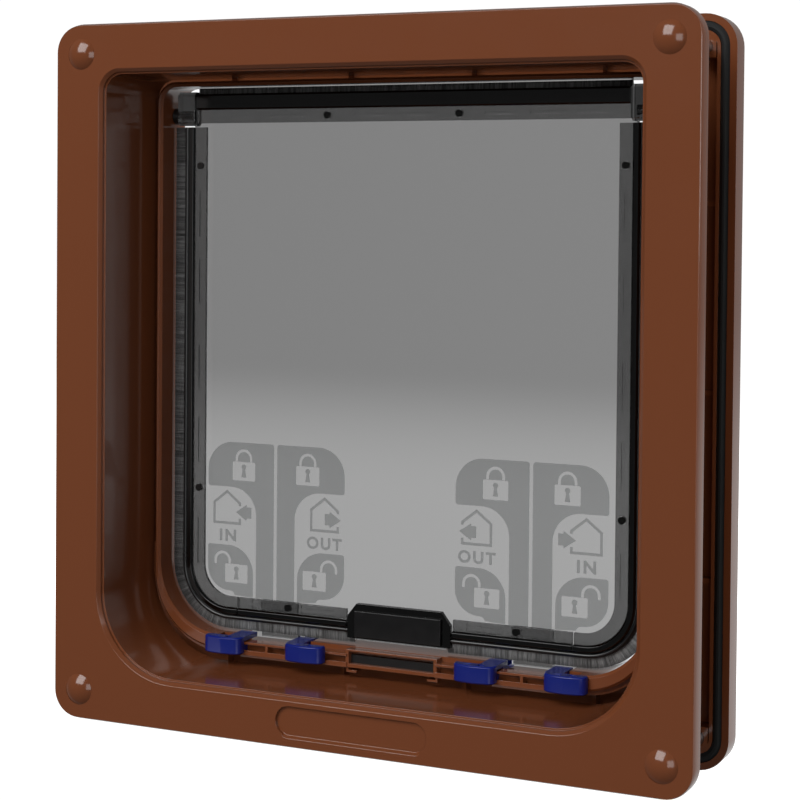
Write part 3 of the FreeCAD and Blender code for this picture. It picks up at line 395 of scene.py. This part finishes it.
OUTER_FACE_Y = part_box("outer_frame")[1][1]
SOFTENING = (
    ("inner_frame", 0.35, 4, FACE_Y), ("outer_frame", 0.3, 4, OUTER_FACE_Y),
    ("latch_in_left", 0.2, 3, None), ("latch_out_left", 0.2, 3, None),
    ("latch_in_right", 0.2, 3, None), ("latch_out_right", 0.2, 3, None),
    ("lock_rail", 0.12, 2, None), ("magnet_carrier", 0.12, 3, None),
    ("flap_magnet", 0.15, 3, None), ("strip_top", 0.1, 2, None),
    ("strip_side_left", 0.1, 2, None), ("strip_side_right", 0.1, 2, None),
    ("strip_bottom_left", 0.1, 2, None), ("strip_bottom_right", 0.1, 2, None),
    ("flap_panel", 0.15, 3, None),
)
for node_name, width, segments, rim_depth in SOFTENING:
    piece = soften(node_name, width * MM, segments, rim_depth)
    print(piece.name, len(piece.data.polygons), "faces")

# %% [markdown]
# The caps over the corner screws are shallow domes. The CAD piece is a plain cone of
# the same width and height, so a sphere is added whose crown has that width and
# height, and bisect cuts away all of it behind the flange's face. A square stem
# holds the cap in the hole over the screw.

# %% Screw caps
CAP_SEGMENTS = 64
STEM_HALF = 2.7 * MM


def make_cap(node_name):
    low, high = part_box(node_name)
    x, z = (low[0] + high[0]) / 2, (low[2] + high[2]) / 2
    radius, rise = (high[0] - low[0]) / 2, FACE_Y - low[1]
    ball = (radius ** 2 + rise ** 2) / (2 * rise)
    clear_selection()
    bpy.ops.mesh.primitive_uv_sphere_add(
        segments=CAP_SEGMENTS, ring_count=CAP_SEGMENTS, radius=ball,
        location=(x, low[1] + ball, z), rotation=(math.radians(90), 0, 0))
    cap = bpy.context.object
    cap.name = node_name + "_dome"
    bpy.ops.object.transform_apply(location=True, rotation=True, scale=True)
    bpy.ops.object.mode_set(mode="EDIT")
    bpy.ops.mesh.select_all(action="SELECT")
    bpy.ops.mesh.bisect(
        plane_co=(x, FACE_Y, z), plane_no=(0, 1, 0), use_fill=True, clear_outer=True)
    bpy.ops.mesh.select_all(action="DESELECT")
    bpy.ops.mesh.primitive_cube_add(
        size=1, location=(x, (FACE_Y + high[1]) / 2, z),
        scale=(2 * STEM_HALF, high[1] - FACE_Y, 2 * STEM_HALF))
    bpy.ops.object.mode_set(mode="OBJECT")
    bpy.ops.object.shade_smooth_by_angle(angle=SMOOTH_BELOW)
    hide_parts(node_name)
    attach(cap, "frame")
    dress(cap, FINISH_OF[node_name])
    return cap


for corner in ("top_left", "top_right", "bottom_left", "bottom_right"):
    cap = make_cap("screw_cap_" + corner)
    print(cap.name, len(cap.data.polygons), "faces")

# %% [markdown]
# The brush is a strip of nylon pile, clamped under the dark strips. Its hairs stand
# at right angles to the flap's edge, some 1.4 mm deep, and fan a little. A ribbon
# with a thickness from Solidify is the heart of the pile, which lets no light
# through. Hairs lie in front of it and behind it: each is a thin three-sided spike
# with one bend, and one function lays thousands of them. That gives the speckle and
# the ragged rim of real pile, which a flat sheet could not. A half-round black lip
# runs in front of the roots: partly the strips' own dark edge, partly painted shade
# at the roots of the pile.

# %% Brush hairs
HAIR_RADIUS = 0.085 * MM
HAIR_PITCH = 0.17 * MM
FRONT_ROWS, BACK_ROWS = 3, 2
HAIR_BEND = 0.25 * MM
TUFT = 3
HEART_STEP = 6
HEART_SHARE = 0.93
HEART_THICKNESS = 0.7 * MM
UNDER_STRIP = 1.2 * MM
LIP_START = UNDER_STRIP - 0.1 * MM
LIP_WIDTH = 1.6 * MM
LIP_HEIGHT = 1.3 * MM
LIP_POINTS = 9
SHORTEST_HAIR = 0.965
TUFT_SHARE = 0.65
BRUSH_SEED = 11


def hair(points, faces, root, tip, sideways, inwards, chance):
    """Adds one three-sided hair from root to tip."""
    lean = sideways * chance.uniform(-1, 1) * HAIR_BEND
    middle = (root + tip) / 2 + lean * 0.35
    start = len(points)
    for centre in (root, middle):
        for turn in range(3):
            angle = turn * math.tau / 3
            round_it = sideways * math.cos(angle) + inwards * math.sin(angle)
            points.append(centre + HAIR_RADIUS * round_it)
    points.append(tip + lean)
    for turn in range(3):
        after = (turn + 1) % 3
        faces.append((start + turn, start + after, start + 3 + after, start + 3 + turn))
        faces.append((start + 3 + turn, start + 3 + after, start + 6))


def mesh_object(name, points, faces):
    mesh = bpy.data.meshes.new(name)
    mesh.from_pydata(points, [], faces)
    mesh.update()
    thing = bpy.data.objects.new(name, mesh)
    bpy.context.scene.collection.objects.link(thing)
    return thing


def hairs_along(name, places, length_at, front, back):
    """Hairs at all places, which are pairs of a root and a direction outwards."""
    chance = random.Random(BRUSH_SEED)
    points, faces, shades = [], [], []
    inwards = Vector((0, 1, 0))
    layer = (back - front - HEART_THICKNESS) / 2
    rows = [front] * FRONT_ROWS + [back - layer] * BACK_ROWS
    for index, (root, outwards) in enumerate(places):
        sideways = outwards.cross(inwards)
        if index % TUFT == 0:
            tuft_shade = chance.random()
        for layer_front in rows:
            depth = layer_front + HAIR_RADIUS + chance.random() * (layer - 2 * HAIR_RADIUS)
            shift = sideways * chance.uniform(-0.5, 0.5) * HAIR_PITCH
            foot = Vector((root.x, depth, root.z)) + shift
            length = length_at(outwards) * chance.uniform(SHORTEST_HAIR, 1.0)
            hair(points, faces, foot, foot + outwards * length, sideways, inwards, chance)
            shade = TUFT_SHARE * tuft_shade + (1 - TUFT_SHARE) * chance.random()
            shades += [shade] * (len(points) - len(shades))
    hairs = mesh_object(name, points, faces)
    hairs.data.attributes.new("hair_shade", "FLOAT", "POINT").data.foreach_set("value", shades)
    return hairs


def heart_along(name, places, length_at, middle):
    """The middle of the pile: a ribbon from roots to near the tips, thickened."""
    points, faces = [], []
    stations = places[::HEART_STEP] + places[-1:]
    for root, outwards in stations:
        foot = Vector((root.x, middle, root.z))
        points += [foot, foot + outwards * length_at(outwards) * HEART_SHARE]
    for index in range(len(stations) - 1):
        first = 2 * index
        faces.append((first, first + 1, first + 3, first + 2))
    heart = mesh_object(name, points, faces)
    pick(heart)
    thicken = heart.modifiers.new("pile depth", "SOLIDIFY")
    thicken.thickness = HEART_THICKNESS
    thicken.offset = 0
    bpy.ops.object.modifier_apply(modifier=thicken.name)
    bpy.ops.object.mode_set(mode="EDIT")
    bpy.ops.mesh.select_all(action="SELECT")
    bpy.ops.mesh.normals_make_consistent(inside=False)
    bpy.ops.object.mode_set(mode="OBJECT")
    return heart


def lip_along(name, places):
    """A half-round lip in front of the roots, from the strip's edge outwards."""
    points, faces = [], []
    stations = places[::HEART_STEP] + places[-1:]
    for root, outwards in stations:
        middle = root + outwards * (LIP_START + LIP_WIDTH / 2)
        for step in range(LIP_POINTS):
            angle = math.pi * step / (LIP_POINTS - 1)
            reach = outwards * (math.cos(angle) * LIP_WIDTH / 2)
            depth = strip_high[1] - AIR_GAP - LIP_HEIGHT * math.sin(angle)
            points.append(Vector((middle.x, depth, middle.z)) + reach)
    for index in range(len(stations) - 1):
        for step in range(LIP_POINTS):
            after = (step + 1) % LIP_POINTS
            first, second = index * LIP_POINTS, (index + 1) * LIP_POINTS
            faces.append((first + step, first + after, second + after, second + step))
    faces.append(tuple(range(LIP_POINTS)))
    faces.append(tuple(range(len(points) - LIP_POINTS, len(points))))
    lip = mesh_object(name, points, faces)
    pick(lip)
    bpy.ops.object.mode_set(mode="EDIT")
    bpy.ops.mesh.select_all(action="SELECT")
    bpy.ops.mesh.normals_make_consistent(inside=False)
    bpy.ops.object.mode_set(mode="OBJECT")
    bpy.ops.object.shade_smooth_by_angle(angle=math.radians(50))
    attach(lip, "flap")
    # The black lip is partly painted shade at the roots of the pile.
    lip.data.materials.append(black_lip)
    print(name, len(lip.data.polygons), "faces")


def lay_pile(name, node_name, places, length_at):
    """Heart and hairs as one piece, which stands for the plain solid of the node."""
    low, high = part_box(node_name)
    hairs = hairs_along(name, places, length_at, low[1], high[1])
    heart = heart_along(name + "_heart", places, length_at, (low[1] + high[1]) / 2)
    clear_selection()
    heart.select_set(True)
    hairs.select_set(True)
    bpy.context.view_layer.objects.active = hairs
    bpy.ops.object.join()
    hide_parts(node_name)
    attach(hairs, "flap")
    dress(hairs, "brush_pile")
    print(name, len(hairs.data.polygons), "faces")


# %% [markdown]
# The strips and the pile's own solids say where the pile is. Its roots start under
# the strips, a little inside their outer edge, and follow the same rounded corner.
# The plain solids keep clear of the collar. The real tips all but touch it, so the
# hairs are half a millimetre longer and let no daylight through.

# %% Lay the pile round the flap
STRIP_CORNER = 15.0 * MM
LONGER = 0.5 * MM
side_low, side_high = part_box("brush_side_right")
bottom_low, bottom_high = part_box("brush_bottom_right")
top_low, top_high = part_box("brush_top")
root_half = strip_high[0] - UNDER_STRIP
root_low = strip_low[2] + UNDER_STRIP
root_radius = STRIP_CORNER - UNDER_STRIP
side_length = side_high[0] - root_half + LONGER
low_length = root_low - side_low[2] + LONGER
print("pile", round(side_length / MM, 2), "mm at the sides,", round(low_length / MM, 2), "mm below")


def skirt_length(outwards):
    """How long a hair is: the sides and the bottom differ, the corner goes between."""
    downwards = max(0.0, -outwards.z)
    return side_length + (low_length - side_length) * downwards ** 2


def top_length(outwards):
    return top_high[2] - top_low[2] + LONGER


def level_places(start, end, height, direction):
    """Roots along a level line, from one place in X to another."""
    count = round(abs(end - start) / HAIR_PITCH)
    step = (end - start) / count
    return [(Vector((start + index * step, 0, height)), Vector((0, 0, direction)))
            for index in range(count + 1)]


def side_places(side):
    """Roots down one side and round its bottom corner."""
    places = []
    corner_z = root_low + root_radius
    count = round((side_high[2] - corner_z) / HAIR_PITCH)
    for index in range(count):
        height = side_high[2] - index * (side_high[2] - corner_z) / count
        places.append((Vector((side * root_half, 0, height)), Vector((side, 0, 0))))
    turns = round(math.radians(90) * root_radius / HAIR_PITCH)
    centre = Vector((side * (root_half - root_radius), 0, corner_z))
    for index in range(turns):
        angle = math.radians(90) * index / turns
        outwards = Vector((side * math.cos(angle), 0, -math.sin(angle)))
        places.append((centre + outwards * root_radius, outwards))
    return places


for side, side_name in ((1, "right"), (-1, "left")):
    corner_end = level_places(side * (root_half - root_radius), side * side_low[0], root_low, -1)
    skirt = side_places(side) + corner_end
    sill = level_places(side * bottom_low[0], side * bottom_high[0], root_low, -1)
    lay_pile("pile_side_" + side_name, "brush_side_" + side_name, skirt, skirt_length)
    lay_pile("pile_bottom_" + side_name, "brush_bottom_" + side_name, sill, skirt_length)
    lip_along("lip_side_" + side_name, skirt)
    lip_along("lip_bottom_" + side_name, sill)
top_places = level_places(top_low[0], top_high[0], top_low[2], 1)
lay_pile("pile_top", "brush_top", top_places, top_length)

# %% [markdown]
# The signs are screen printed on the room side of the flap in a translucent ink: they
# dim what shines through and hide nothing. Each half of a group has a field with a
# closed padlock above, a field with an open one below, and a house with an arrow
# and a word between them. The padlocks are left free of ink, so that a sign is a
# flat curve with holes in it. Blender fills such a curve, and it is then made a mesh.

# %% Drawing helpers for the signs
INK_THICKNESS = 0.04 * MM
INK_GAP = 0.01 * MM
PANEL_FACE_Y = FACE_Y + 33.0 * MM
ink, shader = plain_material("grey_translucent_ink", {
    "Base Color": colour("#C9CACA"), "IOR": 1.05, "Transmission Weight": 1.0})
add_uneven_gloss(ink, shader, 2 * MM, 0.3, 0.5)


def arc(centre, radius, start, end, steps=14):
    """Points of an arc, with angles in degrees."""
    turns = [math.radians(start + (end - start) * index / steps) for index in range(steps + 1)]
    return [(centre[0] + radius * math.cos(turn), centre[1] + radius * math.sin(turn))
            for turn in turns]


def stroke(line, width):
    """The outline of a line drawn with a broad pen, with mitred corners."""
    left, right = [], []
    for index, (x, z) in enumerate(line):
        before = Vector(line[max(index - 1, 0)])
        after = Vector(line[min(index + 1, len(line) - 1)])
        here = Vector((x, z))
        inward = (here - before).normalized() if index else (after - here).normalized()
        outward = (after - here).normalized() if index < len(line) - 1 else inward
        bisector = (inward + outward).normalized()
        across = Vector((-bisector.y, bisector.x))
        reach = width / 2 / max(0.3, bisector.dot(inward))
        left.append(tuple(here + across * reach))
        right.append(tuple(here - across * reach))
    return left + right[::-1]


def flat_sign(name, loops, place_x, direction):
    """A thin printed sign from loops of (distance from the divider, height) in mm."""
    curve = bpy.data.curves.new(name, "CURVE")
    curve.dimensions = "2D"
    curve.fill_mode = "BOTH"
    curve.extrude = INK_THICKNESS / 2
    for loop in loops:
        spline = curve.splines.new("POLY")
        spline.points.add(len(loop) - 1)
        for point, (across, height) in zip(spline.points, loop):
            point.co = ((place_x + direction * across) * MM, height * MM, 0, 1)
        spline.use_cyclic_u = True
    sign = bpy.data.objects.new(name, curve)
    bpy.context.scene.collection.objects.link(sign)
    return lay_on_flap(sign)


def lay_on_flap(sign):
    """Turns a flat curve or text upright, makes it a mesh and fixes it on the flap."""
    pick(sign)
    sign.rotation_euler = (math.radians(90), 0, 0)
    sign.location.y = PANEL_FACE_Y - INK_GAP - INK_THICKNESS / 2
    bpy.ops.object.convert(target="MESH")
    bpy.ops.object.transform_apply(location=True, rotation=True, scale=True)
    sign.data.materials.clear()
    sign.data.materials.append(ink)
    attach(sign, "flap")
    return sign


# %% [markdown]
# Each half of a group is drawn once, from the thin gap that divides the group
# outwards, and is laid to either side of that gap. Sizes are millimetres.

# %% The two fields and their padlocks
GROUP_PLACES = {"left": -42.3, "right": 41.0}
DIVIDER_HALF = 0.55
HALF_WIDTH = 23.0
FIELD_TOP = 81.9
FIELD_FOOT = 34.5
BAND_LOW = 68.1
STEM_WIDTH = 6.1
BIG = 8.6
SMALL = 0.8
OPEN_NEAR = 7.1
OPEN_TOP = 50.1
CLOSED_LOCK = (10.5, 70.2)
OPEN_LOCK = (12.95, 38.6)
LOCK_HALF = 3.95
LOCK_HEIGHT = 5.75
SHACKLE_RADIUS = 2.5
SHACKLE_PEN = 0.85


def closed_field():
    """Band with one big corner, and the stem that runs down beside the divider."""
    loop = [(0, FIELD_FOOT)]
    loop += arc((SMALL, FIELD_TOP - SMALL), SMALL, 180, 90, 5)
    loop += arc((HALF_WIDTH - BIG, FIELD_TOP - BIG), BIG, 90, 0)
    loop += arc((HALF_WIDTH - SMALL, BAND_LOW + SMALL), SMALL, 0, -90, 5)
    loop += arc((STEM_WIDTH + BIG, BAND_LOW - BIG), BIG, 90, 180)
    return loop + [(STEM_WIDTH, FIELD_FOOT)]


def open_field():
    """Leaf-shaped field whose foot runs down to the strip."""
    loop = [(OPEN_NEAR, FIELD_FOOT)]
    loop += arc((OPEN_NEAR + BIG, OPEN_TOP - BIG), BIG, 180, 90)
    loop += arc((HALF_WIDTH - SMALL, OPEN_TOP - SMALL), SMALL, 90, 0, 5)
    loop += arc((HALF_WIDTH - 7.4, 43.5), 7.4, 0, -90)
    loop += arc((15.1, FIELD_FOOT - 0.1), 1.7, 90, 165, 5)
    return loop


def lock_body(place):
    x, low = place
    half, high, corner = LOCK_HALF, low + LOCK_HEIGHT, 0.35
    loop = arc((x - half + corner, low + corner), corner, 180, 270, 3)
    loop += arc((x + half - corner, low + corner), corner, 270, 360, 3)
    loop += arc((x + half - corner, high - corner), corner, 0, 90, 3)
    return loop + arc((x - half + corner, high - corner), corner, 90, 180, 3)


def keyhole(place):
    x, low = place
    eye = arc((x, low + 4.2), 0.85, -60, 240, 12)
    return eye + [(x - 0.85, low + 1.0), (x + 0.85, low + 1.0)]


def closed_shackle(place):
    x, low = place
    high = low + LOCK_HEIGHT + SHACKLE_PEN / 10
    spring = low + LOCK_HEIGHT + 1.0
    bow = arc((x, spring), SHACKLE_RADIUS, 0, 180)
    return stroke([(x + SHACKLE_RADIUS, high)] + bow + [(x - SHACKLE_RADIUS, high)], SHACKLE_PEN)


def open_shackle(place):
    x, low = place
    high = low + LOCK_HEIGHT + SHACKLE_PEN / 10
    hinge = x + 2.35
    centre = (hinge + SHACKLE_RADIUS, low + LOCK_HEIGHT + 0.9)
    bow = arc(centre, SHACKLE_RADIUS, 180, 0)
    free_end = (hinge + 2 * SHACKLE_RADIUS, high - 0.3)
    return stroke([(hinge, high)] + bow + [free_end], SHACKLE_PEN)


# %% [markdown]
# The house is drawn with a broad pen. Its outline is broken where the arrow passes:
# through the near wall on its way in, through the far wall on its way out. Both
# arrows point away from the divider.

# %% Houses, arrows and words
HOUSE_NEAR, HOUSE_FAR = 11.8, 20.8
HOUSE_LOW, EAVES, RIDGE = 56.9, 63.1, 66.6
HOUSE_PEN = 0.8
ARROW_HEIGHT = 60.4
GAP_LOW, GAP_HIGH = 58.5, 62.3
WORD_HEIGHT = 3.7
WORD_CENTRE = 53.3
WORD_WEIGHT = 0.035
WORD_SPACING = 1.25
WORD_PLACE = 16.2
IN_WIDTH, OUT_WIDTH = 5.8, 11.8
ARROW_IN, ARROW_OUT = 7.8, 16.4
SHAFT_LENGTH, ARROW_LENGTH = 1.6, 5.4
SHAFT_HALF, HEAD_HALF = 1.7, 2.5


def house(way_in):
    middle = (HOUSE_NEAR + HOUSE_FAR) / 2
    broken, whole = (HOUSE_NEAR, HOUSE_FAR) if way_in else (HOUSE_FAR, HOUSE_NEAR)
    line = [(broken, GAP_HIGH), (broken, EAVES), (middle, RIDGE), (whole, EAVES),
            (whole, HOUSE_LOW), (broken, HOUSE_LOW), (broken, GAP_LOW)]
    return stroke(line, HOUSE_PEN)


def way_arrow(way_in):
    tail = ARROW_IN if way_in else ARROW_OUT
    head, tip = tail + SHAFT_LENGTH, tail + ARROW_LENGTH
    upper = [(head, ARROW_HEIGHT + HEAD_HALF), (head, ARROW_HEIGHT + SHAFT_HALF),
             (tail, ARROW_HEIGHT + SHAFT_HALF)]
    lower = [(tail, ARROW_HEIGHT - SHAFT_HALF), (head, ARROW_HEIGHT - SHAFT_HALF),
             (head, ARROW_HEIGHT - HEAD_HALF)]
    return lower + [(tip, ARROW_HEIGHT)] + upper


def word(name, letters, centre_x, width):
    """IN or OUT, scaled to its real width and height."""
    clear_selection()
    bpy.ops.object.text_add()
    sign = bpy.context.object
    sign.name = name
    sign.data.body = letters
    sign.data.extrude = INK_THICKNESS / 2
    sign.data.offset = WORD_WEIGHT
    sign.data.space_character = WORD_SPACING
    bpy.context.view_layer.update()
    scale_x = width * MM / sign.dimensions.x
    scale_z = WORD_HEIGHT * MM / sign.dimensions.y
    sign.data.extrude = INK_THICKNESS / 2
    sign.scale = (scale_x, scale_z, 1)
    sign.location.x = centre_x * MM - width * MM / 2
    sign.location.z = (WORD_CENTRE - WORD_HEIGHT / 2) * MM
    return lay_on_flap(sign)


for group, side in (("left", -1), ("right", 1)):
    for way_in in (True, False):
        label = group + ("_in" if way_in else "_out")
        direction = side if way_in else -side
        start = GROUP_PLACES[group] + direction * DIVIDER_HALF
        closed_lock = [lock_body(CLOSED_LOCK), keyhole(CLOSED_LOCK), closed_shackle(CLOSED_LOCK)]
        open_lock = [lock_body(OPEN_LOCK), keyhole(OPEN_LOCK), open_shackle(OPEN_LOCK)]
        flat_sign("field_closed_" + label, [closed_field()] + closed_lock, start, direction)
        flat_sign("field_open_" + label, [open_field()] + open_lock, start, direction)
        flat_sign("house_" + label, [house(way_in), way_arrow(way_in)], start, direction)
        letters, width = ("IN", IN_WIDTH) if way_in else ("OUT", OUT_WIDTH)
        word("word_" + label, letters, start + direction * WORD_PLACE, width)
print("signs printed in two groups")

# %% [markdown]
# The object stands on a white paper sweep that glows by itself and takes no cast
# shadow. The glow is painted light: brightest some way behind the object and dimmer
# at the far wall, so that through the smoke grey flap one sees the wall above, the
# floor below and a soft step between them. Right behind the sill the glow is dimmed
# in a soft patch, a painted shadow, or white would shine through the narrow gaps
# between flap and sill. A second sheet stands far in front, for views from behind.
# The paper is left out of reflections and of the light on the object, which both
# come from the room and the lamps: a glossy brown front would turn pale if it
# mirrored a white floor.

# %% Floor and backdrop
SWEEP_WIDTH = 6.0
FLOOR_FRONT = -3.0
FLOOR_BACK = 1.15
SWEEP_RADIUS = 0.6
WALL_TOP = 4.0
SWEEP_STEPS = 24
# Painted light: the glow is brighter on the floor behind the object than in front of it and at the
# far wall.
NEAR_GLOW, FLOOR_GLOW, WALL_GLOW = 1.02, 1.72, 1.03
NEAR_ZONE = (-0.1, 0.2)
FAR_ZONE = (0.42, 1.2)
# Painted shadow: a soft patch right behind the sill where the glow is dimmed.
PAINTED_SHADOW_CENTRE = (-0.038, 0.085, 0)
PAINTED_SHADOW_HALF = (0.068, 0.032, 0)
PAINTED_SHADOW_EDGE = 0.042
PAINTED_SHADOW_GLOW = 0.16

paper, shader = plain_material("paper_with_painted_light", {
    "Base Color": (0, 0, 0, 1), "Roughness": 1.0, "Emission Color": (1, 1, 1, 1)})
places = add_node(paper, "ShaderNodeTexCoord")
split = add_node(paper, "ShaderNodeSeparateXYZ", links={"Vector": places.outputs["Object"]})
near = add_node(paper, "ShaderNodeMapRange", {
    "interpolation_type": "SMOOTHSTEP", "From Min": NEAR_ZONE[0], "From Max": NEAR_ZONE[1],
    "To Min": NEAR_GLOW, "To Max": FLOOR_GLOW}, {"Value": split.outputs["Y"]})
far = add_node(paper, "ShaderNodeMapRange", {
    "interpolation_type": "SMOOTHSTEP", "From Min": FAR_ZONE[0], "From Max": FAR_ZONE[1],
    "To Min": 1.0, "To Max": WALL_GLOW / FLOOR_GLOW}, {"Value": split.outputs["Y"]})
glow = add_node(paper, "ShaderNodeMath", {"operation": "MULTIPLY"},
                {0: near.outputs[0], 1: far.outputs[0]})
# The painted shadow: how far each point of the paper lies outside the patch, and the glow dimmed
# inside it.
spot = places.outputs["Object"]
for operation, value in (("SUBTRACT", PAINTED_SHADOW_CENTRE), ("ABSOLUTE", (0, 0, 0)),
                         ("SUBTRACT", PAINTED_SHADOW_HALF), ("MAXIMUM", (0, 0, 0))):
    step = add_node(paper, "ShaderNodeVectorMath", {"operation": operation}, {0: spot})
    step.inputs[1].default_value = value
    spot = step.outputs["Vector"]
outside = add_node(paper, "ShaderNodeVectorMath", {"operation": "LENGTH"}, {0: spot})
shadow = add_node(paper, "ShaderNodeMapRange", {
    "interpolation_type": "SMOOTHSTEP", "From Max": PAINTED_SHADOW_EDGE, "To Min": PAINTED_SHADOW_GLOW},
    {"Value": outside.outputs["Value"]})
strength = add_node(paper, "ShaderNodeMath", {"operation": "MULTIPLY"},
                    {0: glow.outputs[0], 1: shadow.outputs[0]})
paper.node_tree.links.new(strength.outputs[0], shader.inputs["Emission Strength"])


def rising(floor_end, direction):
    """Side view of a sheet that curves up from the floor to a wall, as (y, z)."""
    profile = []
    for index in range(SWEEP_STEPS + 1):
        angle = math.radians(90) * index / SWEEP_STEPS
        y = floor_end + direction * SWEEP_RADIUS * math.sin(angle)
        profile.append((y, SWEEP_RADIUS * (1 - math.cos(angle))))
    return profile + [(floor_end + direction * SWEEP_RADIUS, WALL_TOP)]


def hang_paper(name, profile):
    """A sheet of the glowing paper with this side view, for the stage alone."""
    points, faces = [], []
    for y, z in profile:
        points += [(-SWEEP_WIDTH / 2, y, z), (SWEEP_WIDTH / 2, y, z)]
    for index in range(len(profile) - 1):
        first = 2 * index
        faces.append((first, first + 1, first + 3, first + 2))
    sheet = mesh_object(name, points, faces)
    pick(sheet)
    bpy.ops.object.shade_smooth()
    sheet.data.materials.append(paper)
    sheet.visible_glossy = False
    sheet.visible_diffuse = False
    return sheet


hang_paper("sweep", [(FLOOR_FRONT, 0.0)] + rising(FLOOR_BACK, 1))
front_screen = hang_paper("front_screen", rising(FLOOR_FRONT, -1))
front_screen.visible_shadow = False
print("paper hung behind and in front")

# %% [markdown]
# A large soft light stands in front above the camera, a little to the left, and a
# weak one on the right. Neither is mirrored in the flat front. The room is dark in
# front, so that the glossy brown and the smoke plastic keep their depth. Behind the
# object it is grey above the horizon and brighter below it, which the side faces of
# the flanges mirror at a flat angle.

# %% Lights and world
def soft_panel(name, place, aim, size, power):
    clear_selection()
    bpy.ops.object.light_add(type="AREA", location=place)
    light = bpy.context.object
    light.name = name
    light.data.shape = "SQUARE"
    light.data.size = size
    light.data.energy = power
    light.rotation_euler = (Vector(aim) - Vector(place)).to_track_quat("-Z", "Y").to_euler()
    return light


MIDDLE = (0, 0, 0.1)
soft_panel("key_front", (-0.4, -1.25, 1.05), MIDDLE, 1.2, 27)
soft_panel("fill_front_right", (0.95, -1.3, 0.2), MIDDLE, 0.8, 6)
soft_panel("rim_right", (1.5, 0.35, 0.5), MIDDLE, 0.8, 12)

world = bpy.data.worlds.new("dim_studio")
bpy.context.scene.world = world
world.use_nodes = True
background = world.node_tree.nodes["Background"]
background.inputs["Color"].default_value = (1, 1, 1, 1)
FRONT_ROOM, BACK_ABOVE, BACK_BELOW = 0.1, 0.3, 0.75
direction = add_node(world, "ShaderNodeTexCoord")
split = add_node(world, "ShaderNodeSeparateXYZ", links={"Vector": direction.outputs["Generated"]})
below = add_node(world, "ShaderNodeMapRange", {
    "interpolation_type": "SMOOTHSTEP", "From Min": -0.16, "From Max": -0.04,
    "To Min": BACK_BELOW, "To Max": BACK_ABOVE}, {"Value": split.outputs["Z"]})
behind = add_node(world, "ShaderNodeMapRange", {
    "interpolation_type": "SMOOTHSTEP", "From Min": -0.2, "From Max": 0.6,
    "To Min": FRONT_ROOM}, {"Value": split.outputs["Y"], "To Max": below.outputs[0]})
world.node_tree.links.new(behind.outputs[0], background.inputs["Strength"])
bpy.context.scene.view_settings.view_transform = "Standard"
